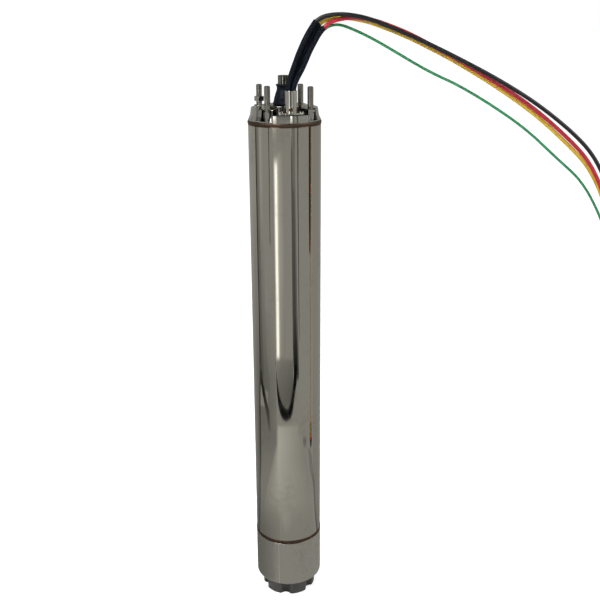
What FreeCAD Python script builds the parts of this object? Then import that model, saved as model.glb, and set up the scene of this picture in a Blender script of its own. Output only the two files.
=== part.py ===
import FreeCAD, Part
import math
import os
from types import SimpleNamespace

import Sketcher

# Submersible pump motor, 4 inch borehole size.
# Units are millimetres. The origin is the centre of the foot's underside, +Z runs up the shaft,
# and the lead gland is on the -Y side.

# Driving sizes, one cell each.
SIZES = {
    # outer can, weld rings, sleeve and foot
    "foot_height": 22.5,
    "sleeve_length": 71.0,
    "shell_length": 584.0,
    "shell_radius": 46.0,
    "shell_wall": 1.6,
    "bead_height": 5.0,
    "bead_extra_radius": 0.6,
    "sleeve_step": 0.35,
    "sleeve_wall": 2.0,
    "sleeve_corner": 3.0,
    "sleeve_mouth_inset": 7.5,
    "foot_inset": 8.6,
    "foot_edge_radius": 1.2,
    "lobe_corner_radius": 4.5,
    "foot_flange_inset": 2.5,
    "foot_flange_height": 1.6,
    "foot_floor": 6.0,
    "notch_radius": 6.5,
    "notch_offset": 1.5,
    "notch_angle": 10.5,
    "notch_count": 6,
    "breather_radius": 5.0,
    "foot_screw_inset": 9.4,
    "foot_screw_tip_gap": 1.0,
    "foot_screw_radius": 2.0,
    "foot_screw_head_radius": 4.0,
    "foot_screw_head_height": 3.0,
    "foot_screw_count": 3,
    "foot_screw_angle": 38.0,
    # clearances
    "fit_gap": 0.05,
    "running_gap": 0.06,
    "film_gap": 0.06,
    "boot_gap": 0.4,
    # upper end bell
    "face_height": 18.2,
    "tower_rise": 2.9,
    "tower_inset": 18.0,
    "bell_flange_inset": 0.4,
    "bell_flange_height": 1.5,
    "bell_foot_inset": 0.8,
    "bell_knee_inset": 2.8,
    "bell_knee_height": 9.0,
    "bell_face_inset": 4.1,
    "bell_edge_round": 1.2,
    "bell_spigot_depth": 22.0,
    "bell_spigot_wall": 4.4,
    "bell_web_depth": 8.0,
    "bell_hub_radius": 19.0,
    "recess_floor": 11.4,
    "recess_half_angle": 31.8,
    "cutter_margin": 4.0,
    "lobe_half_angle": 34.0,
    "lobe_end_round": 3.5,
    "slot_width": 12.0,
    "slot_floor": 4.0,
    "slot_end_inset": 1.0,
    # pump studs, nuts and washers
    "stud_inset": 7.9,
    "stud_radius": 3.97,
    "stud_buried": 11.5,
    "stud_run_radius": 3.65,
    "nut_clear_height": 0.6,
    "stud_collar_flats": 8.6,
    "stud_collar_height": 8.6,
    "stud_neck_radius": 2.95,
    "stud_neck_height": 4.8,
    "stud_thread_length": 26.1,
    "rear_left_stud_height": 0.9,
    "front_left_stud_height": 2.5,
    "front_right_stud_height": 0.8,
    "nut_flats": 11.8,
    "nut_height": 5.8,
    "jam_nut_height": 3.5,
    "jam_nut_flats": 11.0,
    "nut_raised_height": 23.6,
    "washer_radius": 6.7,
    "washer_height": 0.8,
    # lead gland
    "gland_inset": 7.7,
    "gland_tube_radius": 7.3,
    "gland_tube_wall": 0.8,
    "gland_tube_length": 26.8,
    "gland_plate_height": 1.6,
    "gland_gasket_height": 1.0,
    "gland_plate_radius": 8.3,
    "gland_ear_radius": 3.9,
    "gland_ear_offset": 12.9,
    "gland_screw_radius": 1.5,
    "gland_screw_depth": 6.0,
    "gland_screw_tip_gap": 0.5,
    "gland_screw_head_radius": 3.2,
    "gland_screw_head_height": 2.6,
    "set_screw_radius": 1.2,
    "set_hole_margin": 1.0,
    "set_screw_head_radius": 2.65,
    "set_screw_head_height": 0.9,
    "set_screw_height": 4.7,
    "set_screw_angle": 258.0,
    "grommet_depth": 8.0,
    # filling plug
    "plug_inset": 11.0,
    "plug_radius": 3.5,
    "plug_depth": 8.0,
    "plug_head_flats": 9.0,
    "plug_head_height": 1.8,
    # shaft and its boot
    "shaft_projection": 38.2,
    "spline_radius": 7.94,
    "spline_length": 14.4,
    "spline_teeth": 14,
    "spline_depth": 1.05,
    "spline_gap_width": 1.9,
    "spline_gap_flare": 0.35,
    "spline_cutter_margin": 1.0,
    "spline_chamfer": 0.7,
    "shaft_neck_radius": 7.0,
    "seal_seat_radius": 8.0,
    "journal_radius": 10.0,
    "upper_journal_top": 8.0,
    "upper_journal_length": 34.0,
    "rotor_seat_radius": 12.5,
    "lower_journal_length": 60.0,
    "lower_journal_overhang": 20.0,
    "boot_base_radius": 14.8,
    "boot_collar_height": 4.0,
    "boot_shoulder_radius": 14.2,
    "boot_shoulder_height": 0.5,
    "boot_neck_radius": 8.7,
    "boot_neck_height": 17.5,
    "boot_flare_radius": 22.0,
    "boot_lip_radius": 10.0,
    "boot_lip_height": 1.7,
    "boot_lip_slope": 1.0,
    "boot_height": 24.2,
    "boot_hollow_radius": 12.5,
    "boot_hollow_height": 3.0,
    # bearings and seal
    "bush_wall": 3.0,
    "throat_gap": 0.6,
    "upper_bush_top": 6.0,
    "upper_bush_length": 30.0,
    "lower_bush_length": 30.0,
    "seal_bottom": 12.0,
    "seal_height": 8.0,
    # stator and rotor
    "lower_turn_gap": 18.0,
    "upper_turn_gap": 6.0,
    "air_gap": 0.9,
    "slot_count": 24,
    "core_slot_width": 3.2,
    "core_tooth_tip": 3.1,
    "core_back": 6.9,
    "bar_gap": 0.1,
    "end_turn_height": 36.0,
    "end_turn_inner_inset": 2.1,
    "end_turn_outer_inset": 3.4,
    "end_turn_round": 5.0,
    "liner_wall": 0.45,
    "liner_beyond_turns": 2.0,
    "rotor_radius": 24.0,
    "end_ring_height": 12.0,
    "end_ring_inner_radius": 15.0,
    # lower bearing carrier and thrust bearing
    "carrier_drop": 16.0,
    "carrier_height": 80.0,
    "carrier_rim_wall": 4.2,
    "carrier_web_top": 25.0,
    "carrier_hub_radius": 18.5,
    "disc_room_inset": 1.3,
    "disc_inset": 3.8,
    "disc_thickness": 10.0,
    "disc_floor": 2.0,
    "upthrust_gap": 0.5,
    "upthrust_thickness": 3.0,
    "upthrust_radius": 18.0,
    "pad_thickness": 6.0,
    "pad_inner_radius": 11.0,
    "pad_inset": 4.3,
    "pad_angle": 50.0,
    "pad_count": 6,
    "pad_carrier_inset": 2.3,
    "pad_carrier_thickness": 10.0,
    "pivot_screw_radius": 5.0,
    "pivot_screw_length": 10.0,
    "pivot_dome_height": 1.5,
    "pivot_room": 1.0,
    "thrust_housing_wall": 14.5,
    "thrust_web_height": 6.0,
    "web_hole_radius": 3.5,
    "web_hole_circle": 18.0,
    "web_hole_count": 4,
    # diaphragm and its cover
    "cover_wall": 3.0,
    "cover_floor": 2.5,
    "cover_boss_radius": 5.0,
    "cover_boss_height": 5.0,
    "diaphragm_thickness": 1.5,
    "diaphragm_rim_height": 3.0,
    "diaphragm_rim_width": 6.3,
    "diaphragm_sag": 6.0,
    "plate_radius": 22.0,
    "plate_thickness": 2.0,
    "spring_radius": 14.0,
    "spring_wire": 0.7,
    "spring_turns": 3,
    # leads
    "sleeve_diameter": 6.2,
    "lead_diameter": 5.0,
    "earth_diameter": 3.3,
    "coil_inner_radius": 25.5,
    "coil_outer_radius": 46.0,
    "coil_height": 25.0,
    "coil_round": 2.4,
    "tie_thickness": 1.0,
    "tie_width": 4.0,
    "tie_slack": 0.15,
}

# Where each lead runs, as points chosen by hand for a gland whose tube ends at ROUTE_MOUTH.
ROUTE_MOUTH = (0.0, -38.3, 718.3)
BLACK_SLEEVE_ROUTE = [
    (-3.6, -39.8, 718.3), (-3.6, -39.8, 723.2), (-1.3, -40.5, 733.4), (3.6, -41.7, 748.0),
    (10.1, -44.1, 765.1), (16.8, -46.0, 779.8), (23.3, -47.4, 790.4), (28.0, -48.4, 796.9),
]
YELLOW_SLEEVE_ROUTE = [
    (-0.7, -34.2, 718.3), (-0.7, -34.2, 723.0), (2.9, -34.9, 732.5), (9.7, -38.1, 746.6),
    (16.4, -40.1, 762.6), (22.8, -42.0, 776.3), (28.5, -43.2, 786.4), (33.5, -44.2, 793.9),
]
RED_SLEEVE_ROUTE = [
    (2.8, -41.2, 718.3), (2.8, -41.2, 723.0), (6.9, -42.7, 732.6), (13.9, -44.9, 745.7),
    (20.4, -46.8, 761.7), (26.8, -48.1, 774.1), (31.9, -49.2, 783.1), (37.2, -50.3, 789.8),
]
BLACK_ROUTE = [
    (28.0, -48.4, 796.9), (32.4, -49.4, 800.4), (39.2, -51.1, 803.2), (49.2, -54.0, 804.9),
    (63.3, -57.9, 804.9), (83.7, -62.8, 801.4), (105.7, -67.4, 793.7), (135.8, -73.8, 781.5),
    (162.7, -79.6, 769.2), (190.8, -85.5, 755.8), (240.0, -95.0, 731.0), (291.0, -104.0, 701.0),
    (340.0, -112.0, 664.0),
]
YELLOW_ROUTE = [
    (33.5, -44.2, 793.9), (38.0, -45.0, 797.5), (45.0, -45.5, 800.1), (54.2, -46.0, 801.2),
    (70.0, -47.8, 800.8), (91.1, -51.1, 796.8), (112.1, -55.5, 789.3), (140.4, -61.5, 777.8),
    (167.8, -67.4, 764.4), (196.3, -73.4, 749.7), (245.0, -83.5, 721.0), (294.0, -93.0, 688.0),
    (338.0, -101.5, 650.0),
]
RED_ROUTE = [
    (37.2, -50.3, 789.8), (40.8, -50.9, 793.6), (46.2, -51.2, 796.8), (54.4, -51.6, 799.3),
    (65.0, -52.6, 800.9), (77.0, -54.6, 801.3), (93.0, -57.6, 799.1), (112.4, -61.7, 792.9),
    (139.3, -67.4, 782.2), (166.0, -73.1, 768.3), (193.7, -79.0, 754.1), (241.0, -88.5, 727.0),
    (291.0, -97.5, 695.0), (337.0, -105.5, 657.0),
]
GREEN_ROUTE = [
    (4.3, -35.9, 718.3), (4.3, -35.9, 723.6), (8.0, -36.3, 731.6), (15.4, -37.0, 746.4),
    (22.4, -38.5, 762.5), (29.5, -39.5, 775.0), (37.1, -40.6, 785.7), (47.5, -40.8, 792.6),
    (59.3, -42.3, 793.6), (73.6, -44.3, 788.5), (96.4, -49.1, 778.1), (124.8, -55.2, 762.0),
    (153.5, -61.3, 745.2), (176.1, -66.1, 733.6), (198.8, -70.9, 723.7), (240.0, -80.0, 700.0),
    (286.0, -90.5, 669.0), (327.0, -98.5, 632.0),
]
COIL_CENTRE = (495.0, -146.0)

# Each lead's column in the coil: its radius and the azimuth where it comes down to the coil.
COIL_COLUMNS = {
    "lead_black": (43.0, 200.0),
    "lead_red": (38.0, 180.0),
    "lead_yellow": (33.0, 160.0),
    "lead_green": (28.0, 140.0),
}
# A hanging lead's way down to the coil, as shares of the way across and of the height.
FALL_SHARES = [
    (0.22, 0.955), (0.40, 0.885), (0.55, 0.80), (0.67, 0.71), (0.77, 0.615), (0.85, 0.52),
    (0.91, 0.425), (0.955, 0.33), (0.985, 0.235), (1.005, 0.145), (1.01, 0.06),
]

document = FreeCAD.newDocument("SubmersiblePumpMotor")
sheet = document.addObject("Spreadsheet::Sheet", "Sizes")
for row, (name, number) in enumerate(SIZES.items(), start=1):
    sheet.set("A%d" % row, name)
    sheet.set("B%d" % row, str(number))
    sheet.setAlias("B%d" % row, name)
document.recompute()


class Size:
    """A number from the sheet, with the words that bind an object to it."""

    def __init__(self, value, words):
        self.value = value
        self.words = words

    def joined(self, other, sign, value):
        return Size(value, "(%s %s %s)" % (self.words, sign, other.words))

    def __add__(self, other):
        other = as_size(other)
        return self.joined(other, "+", self.value + other.value)

    def __sub__(self, other):
        other = as_size(other)
        return self.joined(other, "-", self.value - other.value)

    def __mul__(self, other):
        other = as_size(other)
        return self.joined(other, "*", self.value * other.value)

    def __truediv__(self, other):
        other = as_size(other)
        return self.joined(other, "/", self.value / other.value)


def as_size(number):
    """Return a plain number as a size that nothing drives."""
    if isinstance(number, Size):
        return number
    return Size(number, repr(number))


def cosine(angle):
    """Return the cosine of an angle in degrees."""
    return Size(math.cos(math.radians(angle.value)), "cos(%s)" % angle.words)


def sine(angle):
    """Return the sine of an angle in degrees."""
    return Size(math.sin(math.radians(angle.value)), "sin(%s)" % angle.words)


def bind(thing, path, length):
    """Tie a property of an object to the sheet."""
    thing.setExpression(path, as_size(length).words)


size = SimpleNamespace(**{name: Size(float(sheet.get(name)), "Sizes." + name) for name in SIZES})
NOTHING = as_size(0.0)

# Heights and radii that follow from the driving sizes.
half_bead = size.bead_height / 2
lower_ring = size.foot_height + size.sleeve_length
upper_ring = lower_ring + size.shell_length
pump_face = upper_ring + size.face_height
tower_top = pump_face + size.tower_rise
shaft_end = pump_face + size.shaft_projection
shell_inner = size.shell_radius - size.shell_wall
sleeve_radius = size.shell_radius + size.sleeve_step
sleeve_mouth = size.shell_radius - size.sleeve_mouth_inset
foot_radius = size.shell_radius - size.foot_inset
foot_screw_circle = foot_radius - size.foot_screw_inset
bell_face_radius = size.shell_radius - size.bell_face_inset
tower_radius = size.shell_radius - size.tower_inset
stud_circle = size.shell_radius - size.stud_inset
gland_circle = size.shell_radius - size.gland_inset
plug_circle = size.shell_radius - size.plug_inset
outside_bell = size.shell_radius + size.cutter_margin
inside_fit = shell_inner - size.fit_gap
bell_seat = upper_ring + half_bead
slot_floor = upper_ring + size.slot_floor
recess_floor = upper_ring + size.recess_floor
web_bottom = upper_ring - size.bell_web_depth
bush_radius = size.journal_radius + size.bush_wall
bush_pocket = bush_radius + size.fit_gap
bush_bore = size.journal_radius + size.running_gap
gasket_top = recess_floor + size.gland_gasket_height
plate_top = gasket_top + size.gland_plate_height
tube_top = plate_top + size.gland_tube_length
tube_bore = size.gland_tube_radius - size.gland_tube_wall
carrier_bottom = lower_ring - size.carrier_drop
carrier_top = carrier_bottom + size.carrier_height
hub_bottom = upper_ring + size.upper_bush_top - size.upper_bush_length
core_bottom = carrier_top + size.lower_turn_gap + size.end_turn_height
core_top = hub_bottom - size.upper_turn_gap - size.end_turn_height
core_bore_radius = size.rotor_radius + size.air_gap
disc_top = carrier_bottom + size.disc_thickness
shaft_bottom = carrier_bottom + size.disc_floor
upthrust_bottom = disc_top + size.upthrust_gap
upthrust_top = upthrust_bottom + size.upthrust_thickness
pad_top = carrier_bottom - size.film_gap
pad_bottom = pad_top - size.pad_thickness
pad_carrier_bottom = pad_bottom - size.pad_carrier_thickness
sleeve_lip_top = size.foot_height + size.sleeve_wall
cover_floor_top = sleeve_lip_top + size.cover_floor
thrust_web_top = pad_carrier_bottom - size.pivot_dome_height - size.pivot_room
thrust_web_bottom = thrust_web_top - size.thrust_web_height
thrust_housing_bottom = thrust_web_bottom - size.bead_height
diaphragm_bottom = thrust_housing_bottom - size.diaphragm_rim_height
sleeve_inner = sleeve_radius - size.sleeve_wall
lower_fit = sleeve_inner - size.fit_gap
thrust_room = lower_fit - size.thrust_housing_wall
disc_room_radius = thrust_room - size.disc_room_inset
stud_free_start = upper_ring + size.nut_raised_height + size.nut_height + size.nut_clear_height

nodes = []


def keep(thing, label):
    """Name a finished piece and put it on the list of nodes."""
    thing.Label = label
    nodes.append(thing)
    return thing


def new_body(name):
    """Start a body for one piece."""
    return document.addObject("PartDesign::Body", "Body_" + name)


def origin_plane(body, role):
    """Find one of the body's own origin planes."""
    for feature in body.Origin.OriginFeatures:
        if feature.Role == role:
            return feature
    raise ValueError("no origin plane " + role)


def sketch_on(body, name, role):
    """Start a sketch on an origin plane of the body."""
    sketch = body.newObject("Sketcher::SketchObject", name)
    sketch.AttachmentSupport = [(origin_plane(body, role), "")]
    sketch.MapMode = "FlatFace"
    return sketch


def upright_sketch(body, name, azimuth=0.0):
    """Start a sketch in an upright plane through the axis, turned to an azimuth."""
    sketch = sketch_on(body, name, "XZ_Plane")
    turn = FreeCAD.Rotation(FreeCAD.Vector(0, 1, 0), azimuth)
    sketch.AttachmentOffset = FreeCAD.Placement(FreeCAD.Vector(), turn)
    return sketch


def level_sketch(body, name, height, azimuth=NOTHING):
    """Start a level sketch at a height, turned about the axis to an azimuth."""
    sketch = sketch_on(body, name, "XY_Plane")
    turn = FreeCAD.Rotation(FreeCAD.Vector(0, 0, 1), azimuth.value)
    sketch.AttachmentOffset = FreeCAD.Placement(FreeCAD.Vector(0, 0, height.value), turn)
    bind(sketch, "AttachmentOffset.Base.z", height)
    if azimuth is not NOTHING:
        bind(sketch, "AttachmentOffset.Rotation.Angle", azimuth)
    return sketch


def pin_point(sketch, line, end, across, along):
    """Hold a point of the sketch at two distances from its origin."""
    for kind, distance, axis in (("DistanceX", across, -2), ("DistanceY", along, -1)):
        if distance is NOTHING:
            sketch.addConstraint(Sketcher.Constraint("PointOnObject", line, end, axis))
            continue
        rule = Sketcher.Constraint(kind, -1, 1, line, end, distance.value)
        number = sketch.addConstraint(rule)
        bind(sketch, "Constraints[%d]" % number, distance)


def draw_outline(sketch, corners, arcs=None):
    """Draw a closed outline through corners, with an arc after the corners named in arcs."""
    arcs = arcs or {}
    corners = [(as_size(across) if across else NOTHING, as_size(along) if along else NOTHING)
               for across, along in corners]
    places = [FreeCAD.Vector(across.value, along.value, 0) for across, along in corners]
    count = len(places)
    for index in range(count):
        start = places[index]
        end = places[(index + 1) % count]
        if index not in arcs:
            sketch.addGeometry(Part.LineSegment(start, end), False)
            continue
        radius, side = arcs[index]
        middle = arc_middle(start, end, radius.value, side)
        sketch.addGeometry(Part.ArcOfCircle(*counter_clockwise(start, middle, end)), False)
    for index in range(count):
        after = (index + 1) % count
        rule = Sketcher.Constraint("Coincident", index, end_of(index, arcs), after, start_of(after, arcs))
        sketch.addConstraint(rule)
    for index, (across, along) in enumerate(corners):
        pin_point(sketch, index, start_of(index, arcs), across, along)
    for index, (radius, side) in arcs.items():
        number = sketch.addConstraint(Sketcher.Constraint("Radius", index, radius.value))
        bind(sketch, "Constraints[%d]" % number, radius)


def arc_middle(start, end, radius, side):
    """Find the middle of an arc that bulges to one side of its chord."""
    chord = end - start
    across = FreeCAD.Vector(chord.y, -chord.x, 0).normalize()
    rise = radius - math.sqrt(radius ** 2 - (chord.Length / 2) ** 2)
    return (start + end) * 0.5 + across * (rise * side)


def counter_clockwise(start, middle, end):
    """Order an arc's three points as a sketch stores them."""
    turn = (middle - start).cross(end - middle).z
    if turn > 0:
        return start, middle, end
    return end, middle, start


def start_of(index, arcs):
    """Return the number of an edge's first point."""
    if index in arcs and arcs[index][1] < 0:
        return 2
    return 1


def end_of(index, arcs):
    """Return the number of an edge's last point."""
    return 3 - start_of(index, arcs)


def draw_circle(sketch, across, along, radius):
    """Draw a circle whose centre and radius follow the sheet."""
    centre = FreeCAD.Vector(across.value, along.value, 0)
    index = sketch.addGeometry(Part.Circle(centre, FreeCAD.Vector(0, 0, 1), radius.value), False)
    pin_point(sketch, index, 3, across, along)
    number = sketch.addConstraint(Sketcher.Constraint("Radius", index, radius.value))
    bind(sketch, "Constraints[%d]" % number, radius)


def spin(body, name, corners, arcs=None, kind="Revolution", azimuth=0.0, sweep=None):
    """Turn an outline of radii and heights about the axis, to add to a body or to cut it."""
    sketch = upright_sketch(body, name + "Outline", azimuth)
    draw_outline(sketch, corners, arcs)
    feature = body.newObject("PartDesign::" + kind, name)
    feature.Profile = sketch
    feature.ReferenceAxis = (sketch, ["V_Axis"])
    feature.Angle = 360.0
    if sweep is not None:
        feature.Midplane = True
        bind(feature, "Angle", sweep)
    sketch.Visibility = False
    return feature


def turned(label, corners, arcs=None):
    """Make a piece by turning one outline about the axis."""
    body = new_body(label)
    spin(body, "Turning", corners, arcs)
    return keep(body, label)


def ring(label, inner, outer, bottom, top):
    """Make a plain ring or tube."""
    return turned(label, [(inner, bottom), (outer, bottom), (outer, top), (inner, top)])


def raised(body, name, sketch, length, kind="Pad", upward=True):
    """Pad or pocket a level sketch by a length, up or down."""
    feature = body.newObject("PartDesign::" + kind, name)
    feature.Profile = sketch
    feature.Length = length.value
    bind(feature, "Length", length)
    feature.Reversed = upward == (kind == "Pocket")
    if kind == "Pad":
        feature.Reversed = not upward
    return feature


def around(body, name, feature, count):
    """Repeat a feature evenly about the axis."""
    pattern = body.newObject("PartDesign::PolarPattern", name)
    pattern.Originals = [feature]
    pattern.Axis = (feature.Profile[0], ["N_Axis"])
    pattern.Angle = 360.0
    pattern.Occurrences = int(count.value)
    bind(pattern, "Occurrences", count)
    body.Tip = pattern
    return pattern


def round_edges(body, name, wanted, radius):
    """Round the edges of the body's newest feature that a test picks out."""
    document.recompute()
    base = body.Tip
    picked = ["Edge%d" % number for number, edge in enumerate(base.Shape.Edges, start=1) if wanted(edge)]
    if not picked:
        raise ValueError("no edge to round for " + name)
    fillet = body.newObject("PartDesign::Fillet", name)
    fillet.Base = (base, picked)
    bind(fillet, "Radius", radius)
    return fillet


def cylinder(name, radius, height, across=NOTHING, along=NOTHING, bottom=NOTHING):
    """Make a cylinder that stands at a place."""
    thing = document.addObject("Part::Cylinder", name)
    bind(thing, "Radius", radius)
    bind(thing, "Height", height)
    stand(thing, across, along, bottom)
    return thing


def hexagon(name, flats, height, across, along, bottom, azimuth):
    """Make a hexagonal prism with two flats along an azimuth."""
    thing = document.addObject("Part::Prism", name)
    thing.Polygon = 6
    bind(thing, "Circumradius", flats / 2 / math.cos(math.pi / 6))
    bind(thing, "Height", height)
    thing.Placement.Rotation = FreeCAD.Rotation(FreeCAD.Vector(0, 0, 1), azimuth)
    stand(thing, across, along, bottom)
    return thing


def stand(thing, across, along, bottom):
    """Place a thing by the sheet."""
    bind(thing, "Placement.Base.x", across)
    bind(thing, "Placement.Base.y", along)
    bind(thing, "Placement.Base.z", bottom)


def cut(name, base, tool):
    """Take one thing out of another."""
    thing = document.addObject("Part::Cut", name)
    thing.Base = base
    thing.Tool = tool
    return thing


def fuse(name, things):
    """Join things into one solid."""
    thing = document.addObject("Part::MultiFuse", name)
    thing.Shapes = things
    thing.Refine = True
    return thing


def group(name, things):
    """Keep things together as separate solids of one node."""
    thing = document.addObject("Part::Compound", name)
    thing.Links = things
    return thing


def near(number, target, slack=0.01):
    """Say whether two lengths are the same."""
    return abs(number - target) < slack


def reach(point):
    """Return a point's distance from the axis."""
    return math.hypot(point.x, point.y)


def flat_edge_at(edge, height, radius):
    """Say whether an edge lies level at a height and a radius."""
    box = edge.BoundBox
    return near(box.ZMin, height) and near(box.ZMax, height) and near(reach(edge.Vertexes[0].Point), radius)


def make_shell():
    """The long can."""
    ring("stator_shell", shell_inner, size.shell_radius, lower_ring + half_bead, upper_ring - half_bead)


def make_weld_ring(label, middle):
    """A rounded bead round the end of the can."""
    bead = (half_bead * half_bead + size.bead_extra_radius * size.bead_extra_radius) / (size.bead_extra_radius * 2)
    low = middle - half_bead
    high = middle + half_bead
    corners = [(shell_inner, low), (size.shell_radius, low), (size.shell_radius, high), (shell_inner, high)]
    turned(label, corners, {1: (bead, 1)})


def make_lower_sleeve():
    """The satin sleeve, turned in at the bottom to a lip."""
    top = lower_ring - half_bead
    corners = [
        (sleeve_mouth, size.foot_height),
        (sleeve_radius, size.foot_height),
        (sleeve_radius, top),
        (sleeve_inner, top),
        (sleeve_inner, sleeve_lip_top),
        (sleeve_mouth, sleeve_lip_top),
    ]
    body = turned("lower_sleeve", corners)

    def corner(edge):
        return flat_edge_at(edge, size.foot_height.value, sleeve_radius.value)

    round_edges(body, "LipRound", corner, size.sleeve_corner)


def make_foot():
    """The dark foot with six lobes, a breather hole and three screw holes."""
    flange_bottom = size.foot_height - size.foot_flange_height
    spigot = sleeve_mouth - size.fit_gap
    corners = [
        (size.breather_radius, NOTHING),
        (foot_radius, NOTHING),
        (foot_radius, flange_bottom),
        (size.shell_radius - size.foot_flange_inset, flange_bottom),
        (size.shell_radius - size.foot_flange_inset, size.foot_height),
        (spigot, size.foot_height),
        (spigot, sleeve_lip_top),
        (size.breather_radius, sleeve_lip_top),
    ]
    body = turned("lobed_foot", corners)
    sketch = level_sketch(body, "NotchOutline", NOTHING, size.notch_angle)
    draw_circle(sketch, foot_radius + size.notch_offset, NOTHING, size.notch_radius)
    notch = raised(body, "Notch", sketch, flange_bottom, "Pocket")
    around(body, "Notches", notch, size.notch_count)
    sketch = level_sketch(body, "ScrewHoleOutline", NOTHING, size.foot_screw_angle)
    draw_circle(sketch, foot_screw_circle, NOTHING, size.foot_screw_radius + size.fit_gap)
    hole = raised(body, "ScrewHole", sketch, sleeve_lip_top, "Pocket")
    around(body, "ScrewHoles", hole, size.foot_screw_count)
    sketch = level_sketch(body, "HeadSinkOutline", NOTHING, size.foot_screw_angle)
    draw_circle(sketch, foot_screw_circle, NOTHING, size.foot_screw_head_radius + size.fit_gap)
    sink = raised(body, "HeadSink", sketch, size.foot_floor, "Pocket")
    around(body, "HeadSinks", sink, size.foot_screw_count)
    inside_lobes = (foot_screw_circle + size.foot_screw_head_radius + size.fit_gap).value

    def lobe_corner(edge):
        box = edge.BoundBox
        on_rim = all(near(reach(end.Point), foot_radius.value) for end in edge.Vertexes)
        return on_rim and near(box.ZMin, 0.0) and near(box.ZMax, flange_bottom.value)

    def lobe_rim(edge):
        box = edge.BoundBox
        return near(box.ZMin, 0.0) and near(box.ZMax, 0.0) and reach(edge.Vertexes[0].Point) > inside_lobes + 0.01

    round_edges(body, "LobeCorners", lobe_corner, size.lobe_corner_radius)
    round_edges(body, "LobeRim", lobe_rim, size.foot_edge_radius)


def make_foot_screws():
    """Three screws that hold the foot to the diaphragm cover."""
    screws = []
    for number in range(int(size.foot_screw_count.value)):
        angle = size.foot_screw_angle + as_size(360.0) / size.foot_screw_count * number
        across = foot_screw_circle * cosine(angle)
        along = foot_screw_circle * sine(angle)
        head_bottom = size.foot_floor - size.foot_screw_head_height
        shank_length = cover_floor_top + size.cover_boss_height - size.foot_floor - size.foot_screw_tip_gap
        head = cylinder("FootScrewHead", size.foot_screw_head_radius, size.foot_screw_head_height,
                        across, along, head_bottom)
        shank = cylinder("FootScrewShank", size.foot_screw_radius, shank_length,
                         across, along, size.foot_floor)
        screws.append(fuse("FootScrew", [head, shank]))
    keep(group("FootScrews", screws), "foot_screws")


def make_end_bell():
    """The cast upper end bell, with its tower, lead recess, front lobe and stud slots."""
    spigot_inner = inside_fit - size.bell_spigot_wall
    spigot_bottom = upper_ring - size.bell_spigot_depth
    seal_floor = upper_ring + size.seal_bottom
    bush_top = upper_ring + size.upper_bush_top
    throat = size.journal_radius + size.throat_gap
    flange_top = bell_seat + size.bell_flange_height
    corners = [
        (inside_fit, spigot_bottom),
        (inside_fit, bell_seat),
        (size.shell_radius - size.bell_flange_inset, bell_seat),
        (size.shell_radius - size.bell_flange_inset, flange_top),
        (size.shell_radius - size.bell_foot_inset, flange_top),
        (size.shell_radius - size.bell_knee_inset, upper_ring + size.bell_knee_height),
        (bell_face_radius, pump_face),
        (tower_radius, pump_face),
        (tower_radius, tower_top),
        (bush_pocket, tower_top),
        (bush_pocket, seal_floor),
        (throat, seal_floor),
        (throat, bush_top),
        (bush_pocket, bush_top),
        (bush_pocket, hub_bottom),
        (size.bell_hub_radius, hub_bottom),
        (size.bell_hub_radius, web_bottom),
        (spigot_inner, web_bottom),
        (spigot_inner, spigot_bottom),
    ]
    body = turned("upper_end_bell", corners)

    def rim(edge):
        return flat_edge_at(edge, pump_face.value, bell_face_radius.value)

    round_edges(body, "FaceRound", rim, size.bell_edge_round)
    above = tower_top + size.cutter_margin
    add_front_lobe(body)
    recess = [
        (tower_radius, recess_floor),
        (outside_bell, recess_floor),
        (outside_bell, above),
        (tower_radius, above),
    ]
    spin(body, "LeadRecess", recess, kind="Groove", azimuth=-90.0, sweep=size.recess_half_angle * 2)
    cut_stud_slots(body, tower_top)
    drill(body, "StudHole", slot_floor, slot_floor - web_bottom, stud_circle,
          as_size(45.0), size.stud_run_radius + size.fit_gap, as_size(4))
    drill(body, "LeadBore", recess_floor, recess_floor - web_bottom, gland_circle,
          as_size(-90.0), tube_bore)
    ear_circle, ear_angle = ear_place()
    for side, name in ((1.0, "RightGlandHole"), (-1.0, "LeftGlandHole")):
        drill(body, name, recess_floor, size.gland_screw_depth, ear_circle,
              ear_angle * side - 90.0, size.gland_screw_radius + size.fit_gap)
    drill(body, "FillHole", pump_face, size.plug_depth, plug_circle,
          as_size(90.0), size.plug_radius + size.fit_gap)


def polar(radius, angle):
    """Return the place at a radius and an angle."""
    return radius * cosine(angle), radius * sine(angle)


def add_front_lobe(body):
    """Add the lobe that stands out under the lead recess, with rounded ends."""
    turn = size.lobe_end_round
    outer = size.shell_radius
    inner = bell_face_radius - turn
    lean = math.degrees(math.asin(turn.value / (outer.value - turn.value)))
    words = "(asin(%s / %s) / 1deg)" % (turn.words, (outer - turn).words)
    end = size.lobe_half_angle
    rounded = end - Size(lean, words)
    straight = (outer - turn) * cosine(Size(lean, words))
    nought = as_size(0.0)
    corners = [
        polar(inner, nought - end),
        polar(straight, nought - end),
        polar(outer, nought - rounded),
        polar(outer, rounded),
        polar(straight, end),
        polar(inner, end),
    ]
    sketch = level_sketch(body, "FrontLobeOutline", bell_seat, as_size(-90.0))
    draw_outline(sketch, corners, {1: (turn, 1), 2: (outer, 1), 3: (turn, 1)})
    raised(body, "FrontLobe", sketch, recess_floor - bell_seat)


def ear_place():
    """Where the gland's screws stand: the circle they lie on and their angle off the front."""
    circle = math.hypot(size.gland_ear_offset.value, gland_circle.value)
    words = "hypot(%s; %s)" % (size.gland_ear_offset.words, gland_circle.words)
    angle = math.degrees(math.atan2(size.gland_ear_offset.value, gland_circle.value))
    turn = "atan(%s / %s) / 1deg" % (size.gland_ear_offset.words, gland_circle.words)
    return Size(circle, words), Size(angle, "(%s)" % turn)


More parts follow.
